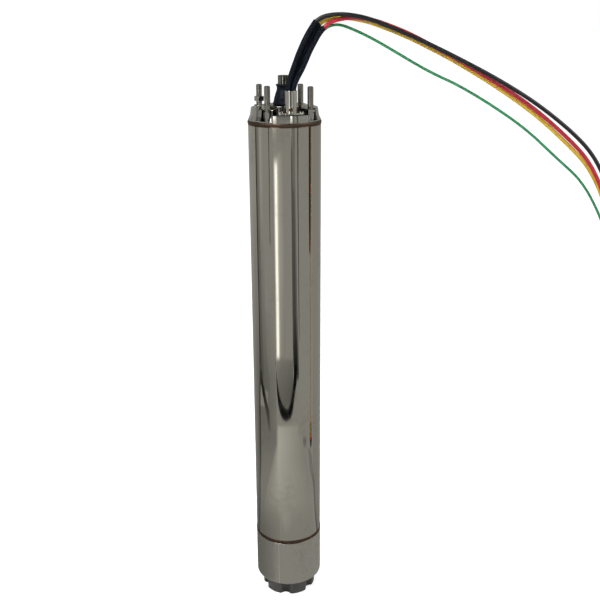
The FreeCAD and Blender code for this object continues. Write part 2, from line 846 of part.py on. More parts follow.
def drill(body, name, top, depth, circle, azimuth, radius, count=None):
    """Drill a round hole down from a level, at a place on a circle."""
    sketch = level_sketch(body, name + "Outline", top, azimuth)
    draw_circle(sketch, circle, NOTHING, radius)
    hole = raised(body, name, sketch, depth, "Pocket", upward=False)
    if count is not None:
        around(body, name + "s", hole, count)


def cut_stud_slots(body, top):
    """Cut the four slots that are open outward round the studs."""
    sketch = level_sketch(body, "StudSlotOutline", top, as_size(45.0))
    draw_slot(sketch, stud_circle - size.slot_end_inset, outside_bell, size.slot_width / 2)
    slot = raised(body, "StudSlot", sketch, top - slot_floor, "Pocket", upward=False)
    around(body, "StudSlots", slot, as_size(4))


def draw_slot(sketch, centre, beyond, radius):
    """Draw a slot along X that starts with a round end and runs on to a distance."""
    middle = FreeCAD.Vector(centre.value, 0, 0)
    low = FreeCAD.Vector(centre.value, -radius.value, 0)
    low_far = FreeCAD.Vector(beyond.value, -radius.value, 0)
    high_far = FreeCAD.Vector(beyond.value, radius.value, 0)
    high = FreeCAD.Vector(centre.value, radius.value, 0)
    lower = sketch.addGeometry(Part.LineSegment(low, low_far), False)
    far = sketch.addGeometry(Part.LineSegment(low_far, high_far), False)
    upper = sketch.addGeometry(Part.LineSegment(high_far, high), False)
    circle = Part.Circle(middle, FreeCAD.Vector(0, 0, 1), radius.value)
    end = sketch.addGeometry(Part.ArcOfCircle(circle, math.pi / 2, math.pi * 3 / 2), False)
    sketch.addConstraint(Sketcher.Constraint("Tangent", upper, 2, end, 1))
    sketch.addConstraint(Sketcher.Constraint("Tangent", end, 2, lower, 1))
    sketch.addConstraint(Sketcher.Constraint("Coincident", lower, 2, far, 1))
    sketch.addConstraint(Sketcher.Constraint("Coincident", far, 2, upper, 1))
    sketch.addConstraint(Sketcher.Constraint("Horizontal", lower))
    sketch.addConstraint(Sketcher.Constraint("Horizontal", upper))
    sketch.addConstraint(Sketcher.Constraint("Vertical", far))
    pin_point(sketch, end, 3, centre, NOTHING)
    number = sketch.addConstraint(Sketcher.Constraint("Radius", end, radius.value))
    bind(sketch, "Constraints[%d]" % number, radius)
    number = sketch.addConstraint(Sketcher.Constraint("DistanceX", -1, 1, far, 1, beyond.value))
    bind(sketch, "Constraints[%d]" % number, beyond)


# Each stud's azimuth and how far it stands above the fully seated one.
STUDS = {
    "RearRight": (45.0, NOTHING),
    "RearLeft": (135.0, size.rear_left_stud_height),
    "FrontLeft": (225.0, size.front_left_stud_height),
    "FrontRight": (315.0, size.front_right_stud_height),
}


def stud_place(azimuth):
    """Return where a stud stands."""
    angle = as_size(azimuth)
    return stud_circle * cosine(angle), stud_circle * sine(angle)


def make_studs():
    """Four studs: a buried end, a hexagonal collar, a neck, the run under the nuts and a free end."""
    studs = []
    for name, (azimuth, lift) in STUDS.items():
        across, along = stud_place(azimuth)
        collar_bottom = slot_floor + lift
        neck_bottom = collar_bottom + size.stud_collar_height
        thread_bottom = neck_bottom + size.stud_neck_height
        stud_end = thread_bottom + size.stud_thread_length
        pieces = [
            cylinder(name + "Buried", size.stud_run_radius, size.stud_buried, across, along,
                     collar_bottom - size.stud_buried),
            hexagon(name + "Collar", size.stud_collar_flats, size.stud_collar_height, across, along,
                    collar_bottom, azimuth),
            cylinder(name + "Neck", size.stud_neck_radius, size.stud_neck_height, across, along, neck_bottom),
            cylinder(name + "NutRun", size.stud_run_radius, stud_free_start - thread_bottom, across, along,
                     thread_bottom),
            cylinder(name + "FreeEnd", size.stud_radius, stud_end - stud_free_start, across, along,
                     stud_free_start),
        ]
        studs.append(fuse(name + "Stud", pieces))
    keep(group("Studs", studs), "pump_studs")


def make_nut(name, stud, bottom, height, flats):
    """One hexagonal nut round a stud."""
    azimuth, lift = STUDS[stud]
    across, along = stud_place(azimuth)
    blank = hexagon(name + "Blank", flats, height, across, along, bottom, azimuth)
    bore = cylinder(name + "Bore", size.stud_run_radius + size.fit_gap, height, across, along, bottom)
    return cut(name, blank, bore)


def make_nuts_and_washers():
    """Three nuts, one of them thin, and two washers that lie on the face."""
    collar_top = slot_floor + size.front_right_stud_height + size.stud_collar_height
    nuts = [
        make_nut("RaisedNut", "RearLeft", upper_ring + size.nut_raised_height, size.nut_height,
                 size.nut_flats),
        make_nut("LowNut", "FrontLeft", pump_face, size.nut_height, size.nut_flats),
        make_nut("JamNut", "FrontRight", collar_top, size.jam_nut_height, size.jam_nut_flats),
    ]
    keep(group("Nuts", nuts), "pump_stud_nuts")
    washers = []
    for stud in ("RearLeft", "RearRight"):
        across, along = stud_place(STUDS[stud][0])
        disc = cylinder(stud + "Disc", size.washer_radius, size.washer_height, across, along, pump_face)
        bore = cylinder(stud + "DiscBore", size.stud_radius + size.fit_gap * 4, size.washer_height,
                        across, along, pump_face)
        washers.append(cut(stud + "Washer", disc, bore))
    keep(group("Washers", washers), "pump_stud_washers")


def draw_gland_outline(sketch):
    """Draw the oval two-bolt outline: a middle circle and two ears, joined by tangent lines."""
    centre = size.gland_plate_radius.value
    ear = size.gland_ear_radius.value
    offset = size.gland_ear_offset.value
    lean = math.acos((centre - ear) / offset)
    up = FreeCAD.Vector(0, 0, 1)

    def arc(across, radius, first, last):
        circle = Part.Circle(FreeCAD.Vector(across, 0, 0), up, radius)
        return sketch.addGeometry(Part.ArcOfCircle(circle, first, last), False)

    def rim(across, radius, angle):
        return FreeCAD.Vector(across + radius * math.cos(angle), radius * math.sin(angle), 0)

    right = arc(offset, ear, -lean, lean)
    top = arc(0.0, centre, lean, math.pi - lean)
    left = arc(-offset, ear, math.pi - lean, math.pi + lean)
    low = arc(0.0, centre, math.pi + lean, 2 * math.pi - lean)
    ends = [
        (right, top, rim(offset, ear, lean), rim(0.0, centre, lean)),
        (top, left, rim(0.0, centre, math.pi - lean), rim(-offset, ear, math.pi - lean)),
        (left, low, rim(-offset, ear, math.pi + lean), rim(0.0, centre, math.pi + lean)),
        (low, right, rim(0.0, centre, -lean), rim(offset, ear, -lean)),
    ]
    for before, after, start, end in ends:
        line = sketch.addGeometry(Part.LineSegment(start, end), False)
        sketch.addConstraint(Sketcher.Constraint("Tangent", before, 2, line, 1))
        sketch.addConstraint(Sketcher.Constraint("Tangent", line, 2, after, 1))
    pin_point(sketch, right, 3, size.gland_ear_offset, NOTHING)
    pin_point(sketch, left, 3, as_size(0.0) - size.gland_ear_offset, NOTHING)
    pin_point(sketch, top, 3, NOTHING, NOTHING)
    pin_point(sketch, low, 3, NOTHING, NOTHING)
    for index, radius in ((right, size.gland_ear_radius), (top, size.gland_plate_radius)):
        number = sketch.addConstraint(Sketcher.Constraint("Radius", index, radius.value))
        bind(sketch, "Constraints[%d]" % number, radius)
    sketch.addConstraint(Sketcher.Constraint("Equal", right, left))
    sketch.addConstraint(Sketcher.Constraint("Equal", top, low))


def make_gland_flat(label, bottom, height):
    """A flat oval piece of the gland, with its bore and two screw holes."""
    body = new_body(label)
    sketch = level_sketch(body, "Oval", NOTHING)
    draw_gland_outline(sketch)
    raised(body, "Plate", sketch, height)
    sketch = level_sketch(body, "Holes", NOTHING)
    draw_circle(sketch, NOTHING, NOTHING, tube_bore)
    hole_radius = size.gland_screw_radius + size.fit_gap
    draw_circle(sketch, size.gland_ear_offset, NOTHING, hole_radius)
    draw_circle(sketch, as_size(0.0) - size.gland_ear_offset, NOTHING, hole_radius)
    raised(body, "Piercing", sketch, height, "Pocket")
    stand(body, NOTHING, as_size(0.0) - gland_circle, bottom)
    keep(body, label)


def make_gland():
    """Gasket, plate, tube, screws, set screw and rubber plug of the lead gland."""
    gland_y = as_size(0.0) - gland_circle
    make_gland_flat("gland_gasket", recess_floor, size.gland_gasket_height)
    make_gland_flat("gland_plate", gasket_top, size.gland_plate_height)
    outer = cylinder("TubeOuter", size.gland_tube_radius, size.gland_tube_length, NOTHING, gland_y, plate_top)
    inner = cylinder("TubeInner", tube_bore, size.gland_tube_length, NOTHING, gland_y, plate_top)
    set_hole = set_screw_cylinder("SetHole", size.set_screw_radius + size.fit_gap,
                                  tube_bore - size.set_hole_margin,
                                  size.gland_tube_wall + size.set_hole_margin * 2)
    tube = cut("TubeWall", cut("TubeBlank", outer, inner), set_hole)
    keep(tube, "gland_tube")
    shank = set_screw_cylinder("SetShank", size.set_screw_radius, tube_bore, size.gland_tube_wall)
    head = set_screw_cylinder("SetHead", size.set_screw_head_radius, size.gland_tube_radius,
                              size.set_screw_head_height)
    keep(fuse("SetScrew", [shank, head]), "gland_set_screw")
    screws = []
    for side in (1.0, -1.0):
        across = size.gland_ear_offset * side
        floor = recess_floor - size.gland_screw_depth + size.gland_screw_tip_gap
        shank = cylinder("GlandShank", size.gland_screw_radius, plate_top - floor, across, gland_y, floor)
        head = cylinder("GlandHead", size.gland_screw_head_radius, size.gland_screw_head_height,
                        across, gland_y, plate_top)
        screws.append(fuse("GlandScrew", [shank, head]))
    keep(group("GlandScrews", screws), "gland_screws")
    grommet_bottom = recess_floor - size.grommet_depth
    grommet = cylinder("Grommet", tube_bore - size.fit_gap, tube_top - grommet_bottom,
                       NOTHING, gland_y, grommet_bottom)
    keep(grommet, "lead_grommet")


def set_screw_cylinder(name, radius, start, length):
    """A level cylinder along the set screw's axis, from a distance off the tube's axis."""
    thing = document.addObject("Part::Cylinder", name)
    bind(thing, "Radius", radius)
    bind(thing, "Height", length)
    angle = size.set_screw_angle
    turn = FreeCAD.Rotation(FreeCAD.Vector(0, 0, 1), angle.value)
    lie_down = FreeCAD.Rotation(FreeCAD.Vector(0, 1, 0), 90.0)
    thing.Placement.Rotation = turn.multiply(lie_down)
    across = start * cosine(angle)
    along = start * sine(angle) - gland_circle
    stand(thing, across, along, plate_top + size.set_screw_height)
    return thing


def make_fill_plug():
    """The filling plug in the face."""
    bottom = pump_face - size.plug_depth
    shank = cylinder("PlugShank", size.plug_radius, size.plug_depth, NOTHING, plug_circle, bottom)
    head = hexagon("PlugHead", size.plug_head_flats, size.plug_head_height, NOTHING, plug_circle,
                   pump_face, 0.0)
    keep(fuse("Plug", [shank, head]), "fill_plug")


def make_shaft():
    """The shaft with its thrust seat, journals, rotor seat, seal seat, neck and spline."""
    upper_top = upper_ring + size.upper_journal_top
    upper_bottom = upper_top - size.upper_journal_length
    lower_top = carrier_top + size.lower_journal_overhang
    lower_bottom = lower_top - size.lower_journal_length
    seal_top = tower_top + size.boot_gap / 2
    spline_bottom = shaft_end - size.spline_length
    corners = [
        (NOTHING, shaft_bottom),
        (size.seal_seat_radius, shaft_bottom),
        (size.seal_seat_radius, lower_bottom),
        (size.journal_radius, lower_bottom),
        (size.journal_radius, lower_top),
        (size.rotor_seat_radius, lower_top),
        (size.rotor_seat_radius, upper_bottom),
        (size.journal_radius, upper_bottom),
        (size.journal_radius, upper_top),
        (size.seal_seat_radius, upper_top),
        (size.seal_seat_radius, seal_top),
        (size.shaft_neck_radius, seal_top),
        (size.shaft_neck_radius, spline_bottom),
        (size.spline_radius, spline_bottom),
        (size.spline_radius, shaft_end - size.spline_chamfer),
        (size.spline_radius - size.spline_chamfer, shaft_end),
        (NOTHING, shaft_end),
    ]
    body = turned("splined_shaft", corners)
    root = size.spline_radius - size.spline_depth
    half = size.spline_gap_width / 2
    wide = half + size.spline_gap_flare
    beyond = size.spline_radius + size.spline_cutter_margin
    nought = as_size(0.0)
    sketch = level_sketch(body, "SplineGapOutline", shaft_end)
    draw_outline(sketch, [(root, nought - half), (beyond, nought - wide), (beyond, wide), (root, half)])
    gap = raised(body, "SplineGap", sketch, size.spline_length, "Pocket", upward=False)
    around(body, "SplineGaps", gap, size.spline_teeth)


def make_boot():
    """The rubber boot that turns with the shaft and throws sand off the seal."""
    bottom = tower_top + size.boot_gap
    top = bottom + size.boot_height
    bore = size.shaft_neck_radius + size.fit_gap
    mouth = size.spline_radius + size.fit_gap * 6
    mouth_bottom = shaft_end - size.spline_length - size.fit_gap * 2
    lip_bottom = top - size.boot_lip_height
    corners = [
        (size.boot_base_radius, bottom),
        (size.boot_base_radius, bottom + size.boot_collar_height),
        (size.boot_shoulder_radius, bottom + size.boot_collar_height + size.boot_shoulder_height),
        (size.boot_neck_radius, bottom + size.boot_neck_height),
        (size.boot_neck_radius, lip_bottom - size.boot_lip_slope),
        (size.boot_lip_radius, lip_bottom),
        (size.boot_lip_radius, top),
        (mouth, top),
        (mouth, mouth_bottom),
        (bore, mouth_bottom),
        (bore, bottom + size.boot_hollow_height),
        (size.boot_hollow_radius, bottom + size.boot_hollow_height),
        (size.boot_hollow_radius, bottom),
    ]
    turned("sand_slinger_boot", corners, {2: (size.boot_flare_radius, -1)})


def make_bearings():
    """Upper and lower bush and the shaft seal."""
    bush_top = upper_ring + size.upper_bush_top
    ring("upper_bearing_bush", bush_bore, bush_radius, bush_top - size.upper_bush_length, bush_top)
    ring("lower_bearing_bush", bush_bore, bush_radius, carrier_top - size.lower_bush_length, carrier_top)
    seal_low = upper_ring + size.seal_bottom
    seal_high = seal_low + size.seal_height
    lip = size.seal_seat_radius + size.running_gap
    body_inner = size.seal_seat_radius + size.bush_wall / 2
    corners = [
        (lip, seal_low),
        (bush_radius, seal_low),
        (bush_radius, seal_high),
        (body_inner, seal_high),
        (body_inner, seal_low + size.seal_height / 2),
        (lip, seal_low + size.seal_height / 4),
    ]
    turned("shaft_seal", corners)


def make_stator():
    """Laminated core, its winding and the thin liner."""
    body = ring("stator_core", core_bore_radius, inside_fit, core_bottom, core_top)
    nought = as_size(0.0)
    slot_start = core_bore_radius + size.core_tooth_tip
    slot_end = shell_inner - size.core_back

    def slot_shape(sketch, gap):
        half = size.core_slot_width / 2 - gap
        start = slot_start + gap
        end = slot_end - gap
        draw_outline(sketch, [(start, nought - half), (end, nought - half), (end, half), (start, half)])

    sketch = level_sketch(body, "SlotOutline", core_top)
    slot_shape(sketch, nought)
    core_length = core_top - core_bottom
    slot = raised(body, "Slot", sketch, core_length, "Pocket", upward=False)
    around(body, "Slots", slot, size.slot_count)
    turns_inner = core_bore_radius + size.end_turn_inner_inset
    turns_outer = shell_inner - size.end_turn_outer_inset
    winding = new_body("stator_winding")
    for name, low in (("LowerTurns", core_bottom - size.end_turn_height), ("UpperTurns", core_top)):
        high = low + size.end_turn_height
        corners = [
            (turns_inner, low),
            (turns_outer - size.end_turn_round, low),
            (turns_outer, low + size.end_turn_round),
            (turns_outer, high - size.end_turn_round),
            (turns_outer - size.end_turn_round, high),
            (turns_inner, high),
        ]
        spin(winding, name, corners, {1: (size.end_turn_round, 1), 3: (size.end_turn_round, 1)})
        if name == "LowerTurns":
            sketch = level_sketch(winding, "BarOutline", core_bottom)
            slot_shape(sketch, size.bar_gap)
            bar = raised(winding, "Bar", sketch, core_length)
            around(winding, "Bars", bar, size.slot_count)
    keep(winding, "stator_winding")
    liner_outer = core_bore_radius - size.fit_gap
    overhang = size.end_turn_height + size.liner_beyond_turns
    ring("stator_liner", liner_outer - size.liner_wall, liner_outer, core_bottom - overhang, core_top + overhang)


def make_rotor():
    """Laminated rotor and its two end rings."""
    bore = size.rotor_seat_radius + size.fit_gap
    ring("rotor_core", bore, size.rotor_radius, core_bottom, core_top)
    rings = []
    for name, low in (("LowerEndRing", core_bottom - size.end_ring_height), ("UpperEndRing", core_top)):
        disc = cylinder(name + "Disc", size.rotor_radius, size.end_ring_height, bottom=low)
        hole = cylinder(name + "Hole", size.end_ring_inner_radius, size.end_ring_height, bottom=low)
        rings.append(cut(name, disc, hole))
    keep(group("EndRings", rings), "rotor_end_rings")


def make_lower_carrier():
    """The lower bell that holds the bush and covers the thrust disc."""
    rim_inner = inside_fit - size.carrier_rim_wall
    web_top = carrier_bottom + size.carrier_web_top
    shaft_room = size.journal_radius + size.running_gap * 8
    corners = [
        (disc_room_radius, carrier_bottom),
        (inside_fit, carrier_bottom),
        (inside_fit, carrier_top),
        (rim_inner, carrier_top),
        (rim_inner, web_top),
        (size.carrier_hub_radius, web_top),
        (size.carrier_hub_radius, carrier_top),
        (bush_pocket, carrier_top),
        (bush_pocket, carrier_top - size.lower_bush_length),
        (shaft_room, carrier_top - size.lower_bush_length),
        (shaft_room, upthrust_top),
        (disc_room_radius, upthrust_top),
    ]
    turned("lower_bearing_carrier", corners)
    ring("upthrust_washer", shaft_room, size.upthrust_radius, upthrust_bottom, upthrust_top)


def make_thrust_bearing():
    """Thrust disc, tilting pads, pad carrier, pivot screw and the housing that holds the screw."""
    seat = size.seal_seat_radius + size.fit_gap
    corners = [
        (NOTHING, carrier_bottom),
        (thrust_room - size.disc_inset, carrier_bottom),
        (thrust_room - size.disc_inset, disc_top),
        (seat, disc_top),
        (seat, shaft_bottom),
        (NOTHING, shaft_bottom),
    ]
    turned("thrust_disc", corners)
    pads = []
    for number in range(int(size.pad_count.value)):
        outer = document.addObject("Part::Cylinder", "PadOuter")
        bind(outer, "Radius", thrust_room - size.pad_inset)
        bind(outer, "Height", size.pad_thickness)
        bind(outer, "Angle", size.pad_angle)
        turn = 360.0 / size.pad_count.value * number
        outer.Placement.Rotation = FreeCAD.Rotation(FreeCAD.Vector(0, 0, 1), turn)
        stand(outer, NOTHING, NOTHING, pad_bottom)
        inner = cylinder("PadInner", size.pad_inner_radius, size.pad_thickness, bottom=pad_bottom)
        pads.append(cut("Pad", outer, inner))
    keep(group("Pads", pads), "thrust_pads")
    dimple = size.pivot_screw_radius + size.fit_gap * 4
    corners = [
        (NOTHING, pad_carrier_bottom + size.pivot_dome_height),
        (dimple, pad_carrier_bottom + size.pivot_dome_height),
        (dimple, pad_carrier_bottom),
        (thrust_room - size.pad_carrier_inset, pad_carrier_bottom),
        (thrust_room - size.pad_carrier_inset, pad_bottom),
        (NOTHING, pad_bottom),
    ]
    turned("thrust_pad_carrier", corners)
    screw_top = pad_carrier_bottom + size.pivot_dome_height
    screw_bottom = screw_top - size.pivot_screw_length
    shoulder = screw_top - size.pivot_dome_height
    dome = (size.pivot_screw_radius * size.pivot_screw_radius
            + size.pivot_dome_height * size.pivot_dome_height) / (size.pivot_dome_height * 2)
    corners = [
        (NOTHING, screw_bottom),
        (size.pivot_screw_radius, screw_bottom),
        (size.pivot_screw_radius, shoulder),
        (NOTHING, screw_top),
    ]
    turned("thrust_pivot_screw", corners, {2: (dome, 1)})
    corners = [
        (size.pivot_screw_radius + size.fit_gap, thrust_web_bottom),
        (thrust_room, thrust_web_bottom),
        (thrust_room, thrust_housing_bottom),
        (lower_fit, thrust_housing_bottom),
        (lower_fit, carrier_bottom),
        (thrust_room, carrier_bottom),
        (thrust_room, thrust_web_top),
        (size.pivot_screw_radius + size.fit_gap, thrust_web_top),
    ]
    body = turned("thrust_housing", corners)
    drill(body, "WebHole", thrust_web_top, size.thrust_web_height, size.web_hole_circle,
          as_size(0.0), size.web_hole_radius, size.web_hole_count)


def make_diaphragm():
    """Diaphragm, its plate, spring and cover."""
    rim_top = thrust_housing_bottom
    web = diaphragm_bottom - size.diaphragm_sag
    film = size.diaphragm_thickness
    rim_inner = lower_fit - size.diaphragm_rim_width
    corners = [
        (NOTHING, web),
        (size.plate_radius + film, web),
        (rim_inner, diaphragm_bottom),
        (lower_fit, diaphragm_bottom),
        (lower_fit, rim_top),
        (rim_inner - film, rim_top),
        (size.plate_radius, web + film),
        (NOTHING, web + film),
    ]
    turned("diaphragm", corners)
    plate_bottom = web - size.plate_thickness
    ring_corners = [
        (NOTHING, plate_bottom),
        (size.plate_radius, plate_bottom),
        (size.plate_radius, web),
        (NOTHING, web),
    ]
    turned("diaphragm_plate", ring_corners)
    inner = lower_fit - size.cover_wall
    corners = [
        (size.breather_radius, sleeve_lip_top),
        (lower_fit, sleeve_lip_top),
        (lower_fit, diaphragm_bottom),
        (inner, diaphragm_bottom),
        (inner, cover_floor_top),
        (size.breather_radius, cover_floor_top),
    ]
    body = turned("diaphragm_cover", corners)
    sketch = level_sketch(body, "BossOutline", cover_floor_top, size.foot_screw_angle)
    draw_circle(sketch, foot_screw_circle, NOTHING, size.cover_boss_radius)
    boss = raised(body, "Boss", sketch, size.cover_boss_height)
    around(body, "Bosses", boss, size.foot_screw_count)
    boss_top = cover_floor_top + size.cover_boss_height
    drill(body, "BossHole", boss_top, boss_top - sleeve_lip_top, foot_screw_circle,
          size.foot_screw_angle, size.foot_screw_radius + size.fit_gap, size.foot_screw_count)
    make_spring(plate_bottom)


def make_spring(top):
    """The coil spring that pushes the plate up."""
    wire = size.spring_wire.value
    low = cover_floor_top.value + wire
    height = top.value - wire - low
    pitch = height / size.spring_turns.value
    path = Part.makeHelix(pitch, height, size.spring_radius.value)
    start = FreeCAD.Vector(size.spring_radius.value, 0, 0)
    section = Part.Wire([Part.makeCircle(wire, start, FreeCAD.Vector(0, 1, 0))])
    spring = document.addObject("Part::Feature", "Spring")
    spring.Shape = Part.Wire(path.Edges).makePipeShell([section], True, True)
    spring.Placement = FreeCAD.Placement(FreeCAD.Vector(0, 0, low), FreeCAD.Rotation())
    keep(spring, "diaphragm_spring")


def route_edges(points, label):
    """Turn route points into straight runs joined by arcs as large as the runs allow."""
    places = [FreeCAD.Vector(*point) for point in points]
    edges = []
    start = places[0]
    radii = []
    for before, corner, after in zip(places, places[1:], places[2:]):
        arriving = corner - before
        leaving = after - corner
        reach_back = 0.45 * min(arriving.Length, leaving.Length)
        half_turn = arriving.getAngle(leaving) / 2
        radius = reach_back / math.tan(half_turn)
        radii.append(radius)
        arriving.normalize()
        leaving.normalize()
        enter = corner - arriving * reach_back
        leave = corner + leaving * reach_back
        inward = (leaving - arriving).normalize()
        middle = corner + inward * (radius / math.cos(half_turn) - radius)
        edges.append(Part.LineSegment(start, enter).toShape())
        edges.append(Part.Arc(enter, middle, leave).toShape())
        start = leave
    edges.append(Part.LineSegment(start, places[-1]).toShape())
    print("%s: smallest radius %.1f mm" % (label, min(radii)))
    return edges


def make_cord(label, diameter, points):
    """A tube along a route, checked against its section times its length."""
    path = Part.Wire(route_edges(points, label))
    places = [FreeCAD.Vector(*point) for point in points]
    radius = diameter.value / 2
    section = Part.Wire([Part.makeCircle(radius, places[0], places[1] - places[0])])
    solid = path.makePipeShell([section], True, False)
    expected = math.pi * radius ** 2 * path.Length
    print("%s: length %.1f mm, volume ratio %.4f" % (label, path.Length, solid.Volume / expected))
    cord = document.addObject("Part::Feature", "Cord_" + label)
    cord.Shape = solid
    keep(cord, label)


def fall_route(start, entry):
    """The hanging stretch from the end of the shown route down to the coil."""
    drop = start[2] - entry[2]
    points = []
    for along, height in FALL_SHARES:
        points.append((
            start[0] + (entry[0] - start[0]) * along,
            start[1] + (entry[1] - start[1]) * along,
            entry[2] + drop * height,
        ))
    return points + [entry]


def from_mouth(route):
    """Move a route so that it starts at the gland's tube, wherever the sizes put that."""
    down = -gland_circle.value - ROUTE_MOUTH[1]
    up = tube_top.value - ROUTE_MOUTH[2]
    return [(x, y + down, z + up) for x, y, z in route]


def make_leads():
    """Three sleeved power leads, the bare earth lead and the tied coil of what is left of them."""
    make_cord("black_lead_sleeve", size.sleeve_diameter, from_mouth(BLACK_SLEEVE_ROUTE))
    make_cord("yellow_lead_sleeve", size.sleeve_diameter, from_mouth(YELLOW_SLEEVE_ROUTE))
    make_cord("red_lead_sleeve", size.sleeve_diameter, from_mouth(RED_SLEEVE_ROUTE))
    routes = {
        "lead_black": (BLACK_ROUTE, size.lead_diameter),
        "lead_red": (RED_ROUTE, size.lead_diameter),
        "lead_yellow": (YELLOW_ROUTE, size.lead_diameter),
        "lead_green": (GREEN_ROUTE, size.earth_diameter),
    }
    top = (size.tie_thickness + size.coil_height).value
    for label, (points, diameter) in routes.items():
        radius, azimuth = COIL_COLUMNS[label]
        angle = math.radians(azimuth)
        route = from_mouth(points)
        entry = (COIL_CENTRE[0] + radius * math.cos(angle), COIL_CENTRE[1] + radius * math.sin(angle), top)
        make_cord(label, diameter, route + fall_route(route[-1], entry))
    coil_bottom = size.tie_thickness
    body = new_body("lead_coil")
    inner = size.coil_inner_radius
    outer = size.coil_outer_radius
    turn = size.coil_round
    coil_top = coil_bottom + size.coil_height
    corners = [
        (inner + turn, coil_bottom), (outer - turn, coil_bottom), (outer, coil_bottom + turn),
        (outer, coil_top - turn), (outer - turn, coil_top), (inner + turn, coil_top),
        (inner, coil_top - turn), (inner, coil_bottom + turn),
    ]
    spin(body, "Turning", corners, {1: (turn, 1), 3: (turn, 1), 5: (turn, 1), 7: (turn, 1)})
    stand(body, as_size(COIL_CENTRE[0]), as_size(COIL_CENTRE[1]), NOTHING)
    keep(body, "lead_coil")
    make_tie()


def make_tie():
    """A band round the coil's section."""
    width = size.coil_outer_radius - size.coil_inner_radius + size.tie_slack * 2
    band = document.addObject("Part::Box", "TieOuter")
    hole = document.addObject("Part::Box", "TieHole")
    wide = width + size.tie_thickness * 2
    room = size.coil_height + size.tie_slack
    tall = room + size.tie_thickness * 2
    start = size.coil_inner_radius - size.tie_slack - size.tie_thickness
    half = as_size(0.0) - size.tie_width / 2
    for box, length, height, left, bottom in (
            (band, wide, tall, start, NOTHING),
            (hole, width, room, size.coil_inner_radius - size.tie_slack, size.tie_thickness)):
        bind(box, "Length", length)
        bind(box, "Width", size.tie_width)
        bind(box, "Height", height)
        stand(box, left + COIL_CENTRE[0], half + COIL_CENTRE[1], bottom)
    keep(cut("Tie", band, hole), "coil_tie")


def check_and_write():
    """Check every object and write one file for each node."""
    document.recompute()
    for thing in document.Objects:
        state = " ".join(thing.State)
        if "Invalid" in state or "Error" in state:
            raise ValueError("%s is not right: %s" % (thing.Label, state))
    for node in nodes:
        if node.Shape.isNull() or not node.Shape.isValid():
            raise ValueError(node.Label + " has no valid shape")
    os.makedirs("parts", exist_ok=True)
    for node in nodes:
        node.Shape.exportStep("parts/%s.step" % node.Label)
        print("%-24s %d solid(s) %10.1f mm3" % (node.Label, len(node.Shape.Solids), node.Shape.Volume))
    print("%d nodes" % len(nodes))


make_shell()
make_weld_ring("upper_weld_ring", upper_ring)
make_weld_ring("lower_weld_ring", lower_ring)
make_lower_sleeve()
make_foot()
make_foot_screws()
make_end_bell()
make_studs()
make_nuts_and_washers()
make_gland()
make_fill_plug()
make_shaft()
make_boot()
make_bearings()
make_stator()
make_rotor()
make_lower_carrier()
make_thrust_bearing()
make_diaphragm()
make_leads()
check_and_write()
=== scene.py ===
# %% [markdown]
# # A submersible pump motor
#
# The motor end of a borehole pump is a long polished steel can. It stands on a notched foot, and
# on top it has a cast bell with four studs, a splined shaft in a rubber boot and a gland for the
# leads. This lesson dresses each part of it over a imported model, which stays where it is.
#
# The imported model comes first. It is a fixed frame: one object for each node, each riding on a
# body. Everything here is in metres, in that same frame.

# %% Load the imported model
import bmesh
import bpy
import math
from mathutils import Matrix, Vector


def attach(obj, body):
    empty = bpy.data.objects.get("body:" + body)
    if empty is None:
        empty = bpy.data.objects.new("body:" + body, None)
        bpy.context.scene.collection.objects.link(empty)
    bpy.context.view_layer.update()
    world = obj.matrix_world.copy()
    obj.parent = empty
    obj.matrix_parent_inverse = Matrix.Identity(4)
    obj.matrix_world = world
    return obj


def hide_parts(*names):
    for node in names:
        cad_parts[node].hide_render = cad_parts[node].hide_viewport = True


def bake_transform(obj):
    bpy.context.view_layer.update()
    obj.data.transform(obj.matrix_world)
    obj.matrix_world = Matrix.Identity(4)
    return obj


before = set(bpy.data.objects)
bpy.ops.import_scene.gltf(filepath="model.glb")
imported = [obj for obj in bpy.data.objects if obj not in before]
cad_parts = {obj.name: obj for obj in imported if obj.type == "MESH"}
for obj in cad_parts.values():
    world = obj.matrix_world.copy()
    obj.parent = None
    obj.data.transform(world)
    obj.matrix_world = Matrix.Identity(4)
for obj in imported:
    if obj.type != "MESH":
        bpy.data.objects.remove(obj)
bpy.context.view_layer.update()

MM = 0.001


def put_in_scene(name, data):
    """Make an object of some data and put it in the scene."""
    thing = bpy.data.objects.new(name, data)
    bpy.context.scene.collection.objects.link(thing)
    return thing


# %% [markdown]
# ## The camera
#
# A camera has a place, a direction, a slight roll and a lens. It was worked out by fitting the
# ends of the can and the welded rings, whose sizes are known, to where the photograph has them.
# A matrix holds it best, because three Euler angles hide the roll.

# %% Set the camera
camera_place = Vector((-0.22838, -1.07447, 0.80544))
camera_forward = Vector((0.21283, 0.92491, -0.31504)).normalized()
camera_roll = -0.004723

level_right = Vector((camera_forward.y, -camera_forward.x, 0.0)).normalized()
level_up = level_right.cross(camera_forward)
camera_right = level_right * math.cos(camera_roll) + level_up * math.sin(camera_roll)
camera_up = level_up * math.cos(camera_roll) - level_right * math.sin(camera_roll)
camera_axes = Matrix((camera_right, camera_up, -camera_forward)).transposed().to_4x4()

camera = put_in_scene("camera", bpy.data.cameras.new("camera"))
camera.data.sensor_width = 36.0
camera.data.lens = 51.695
camera.data.clip_end = 60.0
camera.matrix_world = Matrix.Translation(camera_place) @ camera_axes
bpy.context.scene.camera = camera
bpy.context.scene.view_settings.view_transform = "Standard"
print("camera at", tuple(round(x, 3) for x in camera_place))

# %% [markdown]
# ## Finishes: effects that several materials share
#
# Real surfaces are never even. Polished steel has smears and a faint waviness, a casting has
# grain, and corners are rubbed bright. Each of these effects is a node group with its own inputs,
# made once here and placed in every material that needs it, with values of its own.

